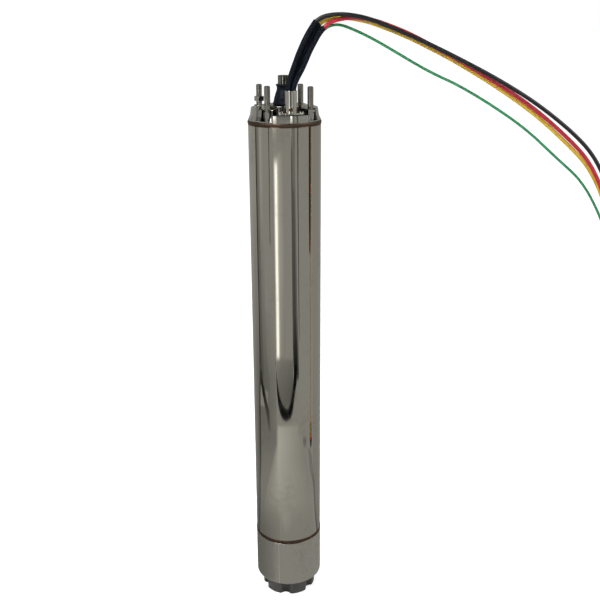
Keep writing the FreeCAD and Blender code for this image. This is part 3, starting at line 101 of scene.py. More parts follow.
# %% Helpers for nodes
def connect(tree, socket, value):
    """Give a socket a plain value or another node's output. None leaves it as it is."""
    if isinstance(value, bpy.types.NodeSocket):
        tree.links.new(value, socket)
    elif value is not None:
        socket.default_value = value


def add_node(tree, kind, inputs=None, **settings):
    """Add a shader node, with its settings by name and its inputs by name or number."""
    node = tree.nodes.new("ShaderNode" + kind)
    for name, value in settings.items():
        setattr(node, name, value)
    for name, value in (inputs or {}).items():
        connect(tree, node.inputs[name], value)
    return node


def do_math(tree, operation, *values, clamp=False):
    """Add one sum, product or other step of arithmetic, and return its result."""
    return add_node(tree, "Math", dict(enumerate(values)), operation=operation, use_clamp=clamp).outputs[0]


def spread(tree, value, low, high, new_low=0.0, new_high=1.0):
    """Map a range of a value smoothly to another range."""
    ends = {"Value": value, "From Min": low, "From Max": high, "To Min": new_low, "To Max": new_high}
    return add_node(tree, "MapRange", ends, interpolation_type="SMOOTHSTEP").outputs["Result"]


def stretched(tree, place, factors):
    """Stretch the place at which a texture is read."""
    return add_node(tree, "VectorMath", {0: place, 1: factors}, operation="MULTIPLY").outputs[0]


def split(tree, place):
    """The X, Y and Z of a place."""
    return add_node(tree, "SeparateXYZ", {0: place}).outputs


def noise(tree, place, scale, detail=3.0, rough=0.5):
    """Add a noise texture and return its value."""
    inputs = {"Vector": place, "Scale": scale, "Detail": detail, "Roughness": rough}
    return add_node(tree, "TexNoise", inputs).outputs["Fac"]


def kept_number(tree, name):
    """The number that a mesh keeps at its points under a name."""
    return add_node(tree, "Attribute", attribute_name=name, attribute_type="GEOMETRY").outputs["Fac"]


def start_group(name, inputs, outputs):
    """Start a node group. Returns it, the sockets it is given and the sockets it has to fill."""
    group = bpy.data.node_groups.new(name, "ShaderNodeTree")
    for socket_name, value in inputs.items():
        kind = "NodeSocketFloat" if isinstance(value, float) else "NodeSocketVector"
        socket = group.interface.new_socket(name=socket_name, in_out="INPUT", socket_type=kind)
        if value is not None:
            socket.default_value = value
    for socket_name in outputs:
        group.interface.new_socket(name=socket_name, in_out="OUTPUT", socket_type="NodeSocketFloat")
    print("group:", name)
    return group, group.nodes.new("NodeGroupInput").outputs, group.nodes.new("NodeGroupOutput").inputs


# %% Smears, as dried water and fingers leave on polished steel
smears, given, wanted = start_group("Smears", {"Place": None, "Scale": 30.0, "Amount": 0.5}, ["Mask"])
cloudy = noise(smears, stretched(smears, given["Place"], (1.0, 1.0, 0.45)), given["Scale"], 5.0, 0.62)
specks = noise(smears, given["Place"], do_math(smears, "MULTIPLY", given["Scale"], 5.3), 2.0)
speckled = do_math(smears, "MULTIPLY", spread(smears, cloudy, 0.48, 0.74), spread(smears, specks, 0.25, 0.7))
connect(smears, wanted["Mask"], do_math(smears, "MULTIPLY", speckled, given["Amount"], clamp=True))

# %% Grain: a fine height, either even or drawn out along one direction
grain, given, wanted = start_group(
    "Grain", {"Place": None, "Scale": 900.0, "Stretch": (1.0, 1.0, 1.0)}, ["Height"])
drawn_out = stretched(grain, given["Place"], given["Stretch"])
connect(grain, wanted["Height"], noise(grain, drawn_out, given["Scale"], 4.0, 0.6))

# %% [markdown]
# Edge wear needs to know where the edges are. Each mesh that is made below keeps a number at
# every point, called "edge", that is 1 where its faces turn sharply. The group reads that number
# and breaks it up with noise, so that the bright rubbing isn't a neat outline.

# %% Edge wear
edge_wear, given, wanted = start_group("Edge wear", {"Place": None, "Scale": 400.0, "Amount": 0.6}, ["Mask"])
broken = spread(edge_wear, noise(edge_wear, given["Place"], given["Scale"], 3.0), 0.3, 0.62)
rubbed = do_math(edge_wear, "MULTIPLY", kept_number(edge_wear, "edge"), broken)
connect(edge_wear, wanted["Mask"], do_math(edge_wear, "MULTIPLY", rubbed, given["Amount"], clamp=True))

# %% A band round the axis, between two heights, with soft and slightly uneven edges
height_band, given, wanted = start_group(
    "Height band", {"Place": None, "Middle": 0.0, "Half width": 0.002, "Unevenness": 0.4}, ["Mask"])
off_middle = do_math(height_band, "SUBTRACT", split(height_band, given["Place"])["Z"], given["Middle"])
share = do_math(height_band, "DIVIDE", do_math(height_band, "ABSOLUTE", off_middle), given["Half width"])
waver = do_math(height_band, "MULTIPLY", noise(height_band, given["Place"], 90.0, 3.0), given["Unevenness"])
connect(height_band, wanted["Mask"],
        spread(height_band, do_math(height_band, "ADD", share, waver), 0.35, 1.15, 1.0, 0.0))

# %% Braid: crossing strands, read from how far along and how far round a sleeve a point is
braid, given, wanted = start_group(
    "Braid", {"Along and round": None, "Strands": 16.0, "Per metre": 420.0}, ["Height", "Gap"])
way = split(braid, given["Along and round"])
along = do_math(braid, "MULTIPLY", way["X"], given["Per metre"])
round_it = do_math(braid, "MULTIPLY", way["Y"], given["Strands"])
strands = []
for operation in ("ADD", "SUBTRACT"):
    phase = do_math(braid, "MULTIPLY", do_math(braid, operation, along, round_it), 2.0 * math.pi)
    strands.append(do_math(braid, "MULTIPLY_ADD", do_math(braid, "SINE", phase), 0.5, 0.5))
over_first = spread(braid, do_math(braid, "SINE", do_math(braid, "MULTIPLY", along, math.pi)), -0.3, 0.3)
mixed = add_node(braid, "Mix", {"Factor": over_first, "A": strands[0], "B": strands[1]}, data_type="FLOAT")
connect(braid, wanted["Height"], mixed.outputs["Result"])
connect(braid, wanted["Gap"], spread(braid, do_math(braid, "MAXIMUM", *strands), 0.35, 0.6, 1.0, 0.0))

# %% [markdown]
# ## Materials
#
# A material here is one Principled shader, fed by the groups. A mask goes between two tones and
# two roughnesses, further masks tint it, and heights tilt its surface.

# %% Helpers for materials
materials = {}


def start_material(name, metallic=1.0, specular=0.5):
    """Start a material. Returns its nodes, and the place on the object that its textures read."""
    material = bpy.data.materials.new(name)
    material.use_nodes = True
    tree = material.node_tree
    shader = tree.nodes["Principled BSDF"]
    shader.inputs["Metallic"].default_value = metallic
    shader.inputs["Specular IOR Level"].default_value = specular
    materials[name] = material
    print("material:", name)
    return tree, add_node(tree, "TexCoord").outputs["Object"]


def put_group(tree, group, place, **values):
    """Place a group in a material, give its inputs this material's values, and return its first output."""
    node = add_node(tree, "Group", node_tree=group)
    connect(tree, node.inputs[0], place)
    for name, value in values.items():
        node.inputs[name.replace("_", " ")].default_value = value
    return node.outputs[0]


def mix_colours(tree, mask, first, second):
    """Go from one colour to another by a mask."""
    node = add_node(tree, "Mix", {0: mask}, data_type="RGBA")
    sockets = [socket for socket in node.inputs if socket.type == "RGBA"]
    for socket, colour in zip(sockets, (first, second)):
        connect(tree, socket, (*colour, 1.0) if isinstance(colour, tuple) else colour)
    return [socket for socket in node.outputs if socket.type == "RGBA"][0]


def finish_material(tree, mask, tones, roughness, tints=(), bumps=(), rough_mask=None):
    """Feed the shader: two tones and roughnesses by a mask, tints by masks of their own, and bumps."""
    shader = tree.nodes["Principled BSDF"]
    colour = mix_colours(tree, mask, *tones)
    for tint_mask, tint in tints:
        colour = mix_colours(tree, tint_mask, colour, tint)
    connect(tree, shader.inputs["Base Color"], colour)
    rough_mask = mask if rough_mask is None else rough_mask
    ends = {"Value": rough_mask, "To Min": roughness[0], "To Max": roughness[1]}
    connect(tree, shader.inputs["Roughness"], add_node(tree, "MapRange", ends).outputs["Result"])
    normal = None
    for height, distance in bumps:
        inputs = {"Strength": 1.0, "Distance": distance, "Height": height, "Normal": normal}
        normal = add_node(tree, "Bump", inputs).outputs["Normal"]
    connect(tree, shader.inputs["Normal"], normal)


# %% [markdown]
# The can is drawn tube, polished and then handled. Long, faint waves down its length bend the
# reflections a little, which is what makes it read as a real tube and not a computed cylinder.
# Beside each weld it is tinted brown by the heat, and just under the upper weld that band is also a painted
# shadow of the bead.

# %% Polished can steel
UPPER_RING = 677.5
LOWER_RING = 93.5
BESIDE_RING = 2.0

tree, place = start_material("can_steel")
smear = put_group(tree, smears, place, Scale=26.0, Amount=0.9)
# The upper band is heat tint and also a painted shadow under the upper bead; the lower band is heat tint.
upper_heat_tint_and_shadow = put_group(tree, height_band, place, Middle=(UPPER_RING - BESIDE_RING) * MM, Half_width=0.0020)
lower_tint = put_group(tree, height_band, place, Middle=(LOWER_RING + BESIDE_RING) * MM, Half_width=0.0012)
weld_side_tint = do_math(tree, "MAXIMUM", upper_heat_tint_and_shadow, lower_tint)
waves = noise(tree, stretched(tree, place, (1.0, 1.0, 0.12)), 24.0, 2.0)
fine = put_group(tree, grain, place, Scale=1600.0, Stretch=(1.0, 1.0, 0.05))
finish_material(
    tree, smear, ((0.60, 0.585, 0.52), (0.50, 0.485, 0.43)), (0.05, 0.14),
    tints=[(weld_side_tint, (0.30, 0.21, 0.14))], bumps=[(waves, 0.0004), (fine, 0.000004)],
)

# %% [markdown]
# The lower sleeve is duller than the can, and its closing weld shows as a thin bright line. The
# line is a mask made from the angle about the axis, so it stays on the steel from any side.

# %% Satin sleeve steel, with its seam
SEAM_ANGLE = math.radians(-120.0)

tree, place = start_material("sleeve_steel")
smear = put_group(tree, smears, place, Scale=24.0, Amount=0.9)
place_parts = split(tree, place)
angle = do_math(tree, "ARCTAN2", place_parts["Y"], place_parts["X"])
off_seam = do_math(tree, "ABSOLUTE", do_math(tree, "SUBTRACT", angle, SEAM_ANGLE))
seam = spread(tree, off_seam, 0.004, 0.011, 1.0, 0.0)
# Below the lower weld the sleeve is tinted brown by the heat.
weld_side_tint = put_group(tree, height_band, place, Middle=(LOWER_RING - BESIDE_RING) * MM, Half_width=0.0012)
fine = put_group(tree, grain, place, Scale=700.0, Stretch=(1.0, 1.0, 0.25))
finish_material(
    tree, smear, ((0.60, 0.59, 0.53), (0.44, 0.43, 0.385)), (0.26, 0.42),
    tints=[(weld_side_tint, (0.27, 0.20, 0.14)), (seam, (0.95, 0.94, 0.90))],
    bumps=[(fine, 0.000012), (seam, 0.00012)],
)

# %% [markdown]
# Most other finishes have the same make: two tones in smears, a grain, a colour for edges that are rubbed and
# a dark colour that paints the shade in recesses and grooves. One helper makes them.

# %% Metals
def plain_material(name, tones, roughness, smear, grained, depth, tints=(), metallic=1.0, specular=0.5):
    """A smeared and grained material. A tint with a scale and an amount is for rubbed edges, and one without
    is painted shade where a mesh keeps its recess number."""
    tree, place = start_material(name, metallic, specular)
    masks = []
    for tint, *wear in tints:
        if wear:
            masks.append((put_group(tree, edge_wear, place, Scale=wear[0], Amount=wear[1]), tint))
        else:
            # The recess number is painted shade.
            masks.append((kept_number(tree, "recess"), tint))
    scale, stretch = grained
    finish_material(
        tree, put_group(tree, smears, place, Scale=smear[0], Amount=smear[1]), tones, roughness, tints=masks,
        bumps=[(put_group(tree, grain, place, Scale=scale, Stretch=stretch), depth)],
    )


EVEN = (1.0, 1.0, 1.0)
plain_material(
    "weld_steel", ((0.125, 0.083, 0.060), (0.062, 0.045, 0.036)), (0.52, 0.70), (120.0, 1.0),
    (420.0, (1.0, 1.0, 0.35)), 0.00025, [((0.34, 0.27, 0.20), 300.0, 0.2)],
)
# On the bell the near black tint is painted shade in the slots and the recess, and the pale one is rubbed
# edges.
plain_material(
    "cast_steel", ((0.58, 0.57, 0.52), (0.49, 0.48, 0.44)), (0.05, 0.13), (90.0, 0.9),
    (380.0, EVEN), 0.000006, [((0.035, 0.034, 0.033),), ((0.80, 0.79, 0.74), 500.0, 0.5)],
)


def machined_steel(name, colour, dark, roughness, stretch, worn=0.25, depth=0.000006, groove_shade=None):
    """A turned or ground steel, with fine tool marks, grime and rubbed edges, and with painted shade in its
    grooves if a colour for it is given.
    """
    bright = tuple(min(1.0, part * 1.35) for part in colour)
    tints = [(groove_shade,)] if groove_shade else []
    tints.append((bright, 250.0, worn))
    plain_material(
        name, (colour, dark), (roughness, roughness + 0.2), (160.0, 0.9), (2200.0, stretch), depth, tints)


machined_steel("bright_steel", (0.55, 0.535, 0.49), (0.36, 0.34, 0.31), 0.16, (0.2, 0.2, 1.0))
machined_steel("tube_steel", (0.66, 0.645, 0.59), (0.58, 0.56, 0.51), 0.04, (0.6, 0.6, 1.0), 0.1, 0.000001)
machined_steel("stud_steel", (0.47, 0.46, 0.42), (0.36, 0.345, 0.31), 0.34, EVEN, 0.05)
# The shaft's dark tint is painted shade at the roots of the spline's grooves.
machined_steel(
    "shaft_steel", (0.56, 0.55, 0.51), (0.40, 0.39, 0.36), 0.14, (1.0, 1.0, 0.06), groove_shade=(0.05, 0.05, 0.05))
machined_steel("brown_screw", (0.17, 0.115, 0.07), (0.08, 0.06, 0.04), 0.36, EVEN)
machined_steel("inner_casting", (0.36, 0.36, 0.35), (0.22, 0.21, 0.20), 0.45, EVEN)

# %% [markdown]
# Rubber, plastics and cord coverings differ from the metals only in their values. Thin cords have
# no edges to rub, so they get no colour for wear.

# %% Rubber, plastics and coverings
def moulded(name, colour, patchy, roughness, scale=120.0, grain_scale=1500.0, depth=0.00003, *tints):
    """A moulded plastic or an extruded covering."""
    plain_material(
        name, (colour, patchy), (roughness, roughness + 0.18), (scale, 0.9), (grain_scale, EVEN), depth,
        tints, metallic=0.0)


plain_material(
    "black_rubber", ((0.006, 0.009, 0.015), (0.014, 0.018, 0.025)), (0.42, 0.66), (110.0, 0.7),
    (1300.0, EVEN), 0.00004, [((0.034, 0.039, 0.047), 500.0, 0.45)], metallic=0.0, specular=0.12,
)
WEAR = (450.0, 0.6)
# The foot's dark tint is painted shade in its notches and sunk screw holes; the pale one is rubbed edges.
moulded(
    "foot_plastic", (0.060, 0.060, 0.055), (0.030, 0.030, 0.029), 0.36, 90.0, 700.0, 0.00005,
    ((0.15, 0.15, 0.14), *WEAR), ((0.016, 0.014, 0.012),),
)
moulded("lead_black", (0.012, 0.012, 0.015), (0.022, 0.022, 0.026), 0.34)
moulded("lead_yellow", (0.72, 0.47, 0.035), (0.62, 0.41, 0.045), 0.36)
moulded("lead_red", (0.52, 0.018, 0.040), (0.40, 0.020, 0.040), 0.34)
moulded("lead_green", (0.030, 0.300, 0.105), (0.030, 0.230, 0.090), 0.40)
moulded(
    "carbon", (0.018, 0.018, 0.019), (0.035, 0.035, 0.037), 0.46, 240.0, 2600.0, 0.00002,
    ((0.07, 0.07, 0.07), *WEAR))
moulded(
    "washer_plastic", (0.30, 0.27, 0.21), (0.22, 0.20, 0.16), 0.44, 150.0, 1200.0, 0.00004,
    ((0.42, 0.39, 0.32), *WEAR))
moulded(
    "tie_plastic", (0.020, 0.020, 0.022), (0.036, 0.036, 0.038), 0.42, 200.0, 900.0, 0.00003,
    ((0.06, 0.06, 0.062), *WEAR))

# %% The braided sleeves: the braid gives both the colour of the gaps and the height
tree, place = start_material("sleeve_braid", metallic=0.0, specular=0.15)
woven = put_group(tree, braid, add_node(tree, "TexCoord").outputs["UV"], Strands=12.0, Per_metre=520.0)
gap = woven.node.outputs["Gap"]
dull = put_group(tree, smears, place, Scale=140.0, Amount=0.8)
finish_material(
    tree, dull, ((0.006, 0.010, 0.018), (0.014, 0.019, 0.028)), (0.46, 0.7),
    tints=[(gap, (0.002, 0.003, 0.005))], bumps=[(woven, 0.00022)], rough_mask=gap,
)

# %% Laminations: thin steel sheets, seen as lines half a millimetre apart
SHEET = 0.5 * MM

tree, place = start_material("lamination")
sheet_wave = do_math(tree, "SINE", do_math(tree, "MULTIPLY", split(tree, place)["Z"], 2.0 * math.pi / SHEET))
sheets = spread(tree, sheet_wave, -0.9, 0.2)
between = spread(tree, sheet_wave, -0.9, 0.2, 1.0, 0.0)
smear = put_group(tree, smears, place, Scale=60.0, Amount=0.8)
finish_material(
    tree, smear, ((0.30, 0.30, 0.31), (0.20, 0.15, 0.12)), (0.38, 0.6),
    tints=[(between, (0.10, 0.09, 0.09))], bumps=[(sheets, 0.00005)],
)

# %% Copper, lacquered, with the lines of its wires
tree, place = start_material("copper")
wires = put_group(tree, grain, place, Scale=520.0, Stretch=(1.0, 1.0, 0.15))
shade = spread(tree, wires, 0.35, 0.62)
finish_material(tree, shade, ((0.24, 0.075, 0.03), (0.60, 0.23, 0.10)), (0.5, 0.28), bumps=[(wires, 0.0003)])

# %% [markdown]
# ## Making meshes
#
# Nearly every part of a motor is turned, so most pieces start as an outline of radii and heights
# that is spun about an axis. Real corners are never sharp: the outline's corners are rounded
# first, so that they catch the light. Outlines are in millimetres, and meshes in metres.

# %% Helpers for outlines
def arc(centre, radius, first, last, steps):
    """Points along an arc, from one angle to another, in radians."""
    angles = [first + (last - first) * step / steps for step in range(steps + 1)]
    return [(centre[0] + radius * math.cos(a), centre[1] + radius * math.sin(a)) for a in angles]


def circle(radius, centre=(0.0, 0.0), count=48):
    """A round outline."""
    return arc(centre, radius, 0.0, 2 * math.pi, count)[:-1]


def turned_outline(outline, degrees):
    """Turn a level outline about the axis."""
    across, along = math.cos(math.radians(degrees)), math.sin(math.radians(degrees))
    return [(x * across - y * along, x * along + y * across) for x, y in outline]


def rounded(corners, closed=True, steps=5):
    """Round the corners of an outline. A corner is (across, up) or (across, up, radius)."""
    points = []
    count = len(corners)
    for index, corner in enumerate(corners):
        here = Vector(corner[:2])
        radius = corner[2] if len(corner) > 2 else 0.0
        at_end = not closed and index in (0, count - 1)
        if radius == 0.0 or at_end:
            points.append(here)
            continue
        back = Vector(corners[index - 1][:2]) - here
        on = Vector(corners[(index + 1) % count][:2]) - here
        half = back.angle(on) / 2
        reach = min(radius / math.tan(half), back.length * 0.48, on.length * 0.48)
        radius = reach * math.tan(half)
        centre = here + (back.normalized() + on.normalized()).normalized() * (radius / math.sin(half))
        first = here + back.normalized() * reach - centre
        last = here + on.normalized() * reach - centre
        for step in range(steps + 1):
            points.append(centre + first.lerp(last, step / steps).normalized() * radius)
    return [(point.x, point.y) for point in points]


# %% Helpers for points and faces
def band_faces(rows, count, wrap=True, loop=False):
    """Faces between rows of as many points each. Wrap joins each row's last point to its first, and
    loop joins the last row to the first."""
    faces = []
    for row in range(rows if loop else rows - 1):
        low = row * count
        high = (row + 1) % rows * count
        for step in range(count if wrap else count - 1):
            after = (step + 1) % count
            faces.append((low + step, low + after, high + after, high + step))
    return faces


def end_faces(points, count):
    """The faces that close the first and the last row of points."""
    return [tuple(range(count)), tuple(range(len(points) - count, len(points)))]


def stacked(rows):
    """Level outlines with as many points each, one above the other, closed at both ends."""
    count = len(rows[0][0])
    points = [(x, y, height) for outline, height in rows for x, y in outline]
    return points, end_faces(points, count) + band_faces(len(rows), count)


def post(outline, bottom, top):
    """An outline in the level plane, raised between two heights."""
    return stacked([(outline, bottom), (outline, top)])


def spun(outline, closed=True, segments=128, centre=(0.0, 0.0)):
    """Spin an outline about an upright axis. A point on the axis isn't repeated."""
    points = []
    rows = []
    for radius, height in outline:
        ring = circle(radius, centre, segments) if radius > 1e-6 else [centre]
        rows.append(range(len(points), len(points) + len(ring)))
        points.extend([(x, y, height) for x, y in ring])
    faces = []
    for low, high in zip(rows, rows[1:] + rows[:1] if closed else rows[1:]):
        for step in range(segments):
            after = (step + 1) % segments
            corners = ((low, step), (low, after), (high, after), (high, step))
            face = tuple(dict.fromkeys(row[turn % len(row)] for row, turn in corners))
            if len(face) > 2:
                faces.append(face)
    return points, faces


def rod(corners, centre=(0.0, 0.0), segments=48):
    """A solid turned about an upright axis, its outline beginning and ending on the axis."""
    return spun(rounded(corners, False), False, segments, centre)


def mesh_of(points, faces):
    """A mesh with these points and faces."""
    mesh = bpy.data.meshes.new("made")
    mesh.from_pydata(points, [], faces)
    return mesh


def joined(*shapes):
    """Put several shapes in millimetres into one mesh in metres."""
    points = []
    faces = []
    for some_points, some_faces in shapes:
        start = len(points)
        points.extend([tuple(part * MM for part in point) for point in some_points])
        faces.extend([tuple(index + start for index in face) for face in some_faces])
    return mesh_of(points, faces)


# %% Helpers that finish a mesh and show it
def face_outward(mesh):
    """Turn a mesh's faces outward."""
    work = bmesh.new()
    work.from_mesh(mesh)
    bmesh.ops.recalc_face_normals(work, faces=work.faces)
    work.to_mesh(mesh)
    work.free()


def add_edge_numbers(mesh):
    """Keep at every point how sharply its faces turn, for the wear to read."""
    work = bmesh.new()
    work.from_mesh(mesh)
    angles = []
    for point in work.verts:
        angles.append(max([edge.calc_face_angle(0.0) for edge in point.link_edges], default=0.0))
    work.free()
    numbers = mesh.attributes.new("edge", "FLOAT", "POINT")
    for index, angle in enumerate(angles):
        numbers.data[index].value = min(1.0, max(0.0, (math.degrees(angle) - 9.0) / 12.0))


def mark_painted_shade(mesh, shade_amount):
    """Keep at every point how much painted shade it gets, from 0 to 1, for recesses and grooves."""
    numbers = mesh.attributes.new("recess", "FLOAT", "POINT")
    for index, point in enumerate(mesh.vertices):
        outward = Vector((point.co.x, point.co.y, 0.0))
        turn = math.degrees(math.atan2(outward.y, outward.x)) % 360.0
        facing = point.normal.dot(outward.normalized())
        if abs(point.normal.z) < 0.8:
            numbers.data[index].value = shade_amount(outward.length / MM, point.co.z / MM, facing, turn)


def show(name, mesh, finish, *nodes, body="motor_body", sharp=35.0):
    """Finish a mesh and put it in the scene, on its body, in place of its nodes."""
    face_outward(mesh)
    mesh.polygons.foreach_set("use_smooth", [True] * len(mesh.polygons))
    mesh.set_sharp_from_angle(angle=math.radians(sharp))
    add_edge_numbers(mesh)
    piece = put_in_scene(name, mesh)
    mesh.materials.clear()
    mesh.materials.append(materials[finish])
    even = piece.modifiers.new("even_normals", "WEIGHTED_NORMAL")
    even.keep_sharp = True
    if body:
        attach(piece, body)
    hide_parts(*nodes)
    print("piece:", name, len(mesh.vertices), "points")
    return piece


def turned_piece(name, corners, finish, node, closed=True, segments=160, centre=(0.0, 0.0),
                 body="motor_body"):
    """A piece that is one rounded outline spun about an upright axis."""
    shape = spun(rounded(corners, closed), closed, segments, centre)
    return show(name, joined(shape), finish, node, body=body)


# %% [markdown]
# ## The outer case
#
# The can, the two welded rings and the satin sleeve are thin tubes. Each is drawn with its inner
# wall too, so that it is still a tube where the model is cut open. The rings are beads: their
# outline bulges past the can by half a millimetre.

# %% Can, rings and sleeve
CAN_RADIUS = 46.0
CAN_INNER = 44.4
HALF_BEAD = 2.5
BULGE = 0.6
SLEEVE_RADIUS = 46.35
SLEEVE_INNER = 44.35
SLEEVE_BOTTOM = 22.5
FLANGE_BORE = 38.5

can_corners = [
    (CAN_INNER, LOWER_RING + HALF_BEAD), (CAN_RADIUS, LOWER_RING + HALF_BEAD, 0.3),
    (CAN_RADIUS, UPPER_RING - HALF_BEAD, 0.3), (CAN_INNER, UPPER_RING - HALF_BEAD),
]
turned_piece("polished_can", can_corners, "can_steel", "stator_shell", segments=256)


def bead_corners(middle):
    """A ring's outline, bulging in the middle, with a small step down to the tubes."""
    corners = [(CAN_INNER, middle - HALF_BEAD), (CAN_RADIUS - 0.25, middle - HALF_BEAD, 0.2)]
    for step in range(9):
        share = step / 8 * 2 - 1
        corners.append((CAN_RADIUS + BULGE * (1 - share * share), middle + share * (HALF_BEAD - 0.15)))
    return corners + [(CAN_RADIUS - 0.25, middle + HALF_BEAD, 0.2), (CAN_INNER, middle + HALF_BEAD)]


turned_piece("upper_bead", bead_corners(UPPER_RING), "weld_steel", "upper_weld_ring", segments=256)
turned_piece("lower_bead", bead_corners(LOWER_RING), "weld_steel", "lower_weld_ring", segments=256)

sleeve_corners = [
    (FLANGE_BORE, SLEEVE_BOTTOM, 0.4), (SLEEVE_RADIUS, SLEEVE_BOTTOM, 3.0),
    (SLEEVE_RADIUS, LOWER_RING - HALF_BEAD, 0.5), (SLEEVE_INNER, LOWER_RING - HALF_BEAD),
    (SLEEVE_INNER, SLEEVE_BOTTOM + 2.0), (FLANGE_BORE, SLEEVE_BOTTOM + 2.0),
]
turned_piece("satin_sleeve", sleeve_corners, "sleeve_steel", "lower_sleeve", segments=256)

# %% [markdown]
# ## Cutting shapes
#
# The foot and the end bell aren't only turned: holes, slots and a recess are milled out of
# them. Boolean modifiers do that as a cutter would, and a Bevel modifier afterwards breaks every
# edge by the same small amount. The modifiers are applied at once, so only a mesh remains.

# %% Helpers for milled shapes
def loose_object(shape):
    """An object for cutting with, in metres."""
    mesh = joined(shape)
    face_outward(mesh)
    return put_in_scene("cutter", mesh)


def applied(thing):
    """The mesh of an object as its modifiers or its curve make it."""
    graph = bpy.context.evaluated_depsgraph_get()
    return bpy.data.meshes.new_from_object(thing.evaluated_get(graph))


def milled(base, changes, bevel, segments=3):
    """Join or cut shapes into a base in turn, then break the edges. Returns the new mesh."""
    whole = loose_object(base)
    for operation, shape in changes:
        tool = loose_object(shape)
        modifier = whole.modifiers.new("cut", "BOOLEAN")
        modifier.operation = operation
        modifier.solver = "EXACT"
        modifier.object = tool
        mesh = applied(whole)
        whole.modifiers.clear()
        whole.data = mesh
        bpy.data.objects.remove(tool)
    work = bmesh.new()
    work.from_mesh(whole.data)
    bmesh.ops.remove_doubles(work, verts=work.verts, dist=0.00003)
    bmesh.ops.dissolve_degenerate(work, edges=work.edges, dist=0.00003)
    work.to_mesh(whole.data)
    work.free()
    modifier = whole.modifiers.new("edges", "BEVEL")
    modifier.width = bevel * MM
    modifier.segments = segments
    modifier.limit_method = "ANGLE"
    modifier.angle_limit = math.radians(40.0)
    modifier.use_clamp_overlap = True
    mesh = applied(whole)
    bpy.data.objects.remove(whole)
    return mesh


def drilled(outline, bottom, top):
    """A change that cuts an outline away between two heights."""
    return "DIFFERENCE", post(outline, bottom, top)


def on_circle(radius, degrees):
    """A place on a circle about the axis."""
    return radius * math.cos(math.radians(degrees)), radius * math.sin(math.radians(degrees))


# %% [markdown]
# The foot's outline has six lobes. Between two lobes is a round notch, and each corner between
# notch and rim is rounded too, so the outline runs from one arc into the next without a kink. The
# angle at which a corner's arc meets the rim follows from the cosine rule.

# %% The foot, with its six lobes and three sunk screw holes
FOOT_RADIUS = 37.4
NOTCH_RADIUS = 6.5
NOTCH_CENTRE = FOOT_RADIUS + 1.5
FIRST_NOTCH = 10.5
LOBE_CORNER = 4.5
FOOT_EDGE = 1.2
FLANGE_TOP = SLEEVE_BOTTOM + 2.0
FLANGE_BOTTOM = 20.9
FLANGE_RADIUS = 43.5
BREATHER = 5.0
SCREW_ANGLES = (38.0, 158.0, 278.0)
SCREW_CIRCLE = 28.0
SCREW_SINK = 4.05


def lobed_outline(inset):
    """The foot's outline, drawn in all round by an inset."""
    rim = FOOT_RADIUS - inset
    notch = NOTCH_RADIUS + inset
    corner = LOBE_CORNER - inset
    reach = rim - corner
    lean = math.acos((reach ** 2 + NOTCH_CENTRE ** 2 - (notch + corner) ** 2) / (2 * reach * NOTCH_CENTRE))
    side = math.asin(reach * math.sin(lean) / (notch + corner))
    across, along = reach * math.cos(lean), reach * math.sin(lean)
    outline = arc((across, -along), corner, -lean, side, 6)
    outline += arc((NOTCH_CENTRE, 0.0), notch, math.pi + side, math.pi - side, 10)[1:]
    outline += arc((across, along), corner, -side, lean, 6)[1:]
    outline += arc((0.0, 0.0), rim, lean, math.radians(60.0) - lean, 10)[1:-1]
    whole = []
    for number in range(6):
        whole += turned_outline(outline, FIRST_NOTCH + 60.0 * number)
    return whole


foot_rows = []
for step in range(6):
    turn = math.radians(18.0 * step)
    foot_rows.append((lobed_outline(FOOT_EDGE * (1.0 - math.sin(turn))), FOOT_EDGE * (1.0 - math.cos(turn))))
foot_rows.append((lobed_outline(0.0), FLANGE_BOTTOM + 0.3))
flange_corners = [
    (BREATHER, FLANGE_BOTTOM), (FLANGE_RADIUS, FLANGE_BOTTOM, 0.4), (FLANGE_RADIUS, SLEEVE_BOTTOM),
    (FLANGE_BORE - 0.05, SLEEVE_BOTTOM), (FLANGE_BORE - 0.05, FLANGE_TOP), (BREATHER, FLANGE_TOP),
]
foot_changes = [
    ("UNION", spun(rounded(flange_corners), True, 192)),
    drilled(circle(BREATHER), -1.0, FLANGE_TOP + 1.0),
]
for turn in SCREW_ANGLES:
    foot_changes.append(drilled(turned_outline(circle(SCREW_SINK, (SCREW_CIRCLE, 0.0)), turn), -1.0, 6.0))
foot_mesh = milled(stacked(foot_rows), foot_changes, 0.35)
# Painted shade on the walls of the notches and the sunk screw holes, under the flange.
mark_painted_shade(foot_mesh, lambda away, height, facing, turn: float(height < 20.8 and away < FOOT_RADIUS - 1.6))
show("lobed_plastic_foot", foot_mesh, "foot_plastic", "lobed_foot", sharp=50.0)

# %% [markdown]
# ## Screws, nuts and hexagons
#
# A nut is a hexagon whose corners are cut back by a cone on each face. Seen from the side that
# leaves the curved lines every real nut has. It can be worked out directly: at each angle the
# hexagon has a radius, and the cone says how far down the flat begins there.

# %% Hexagons with chamfered corners
HEXAGON_STEPS = 72
CONE_SLOPE = math.tan(math.radians(30.0))
LEAD_IN = 0.35


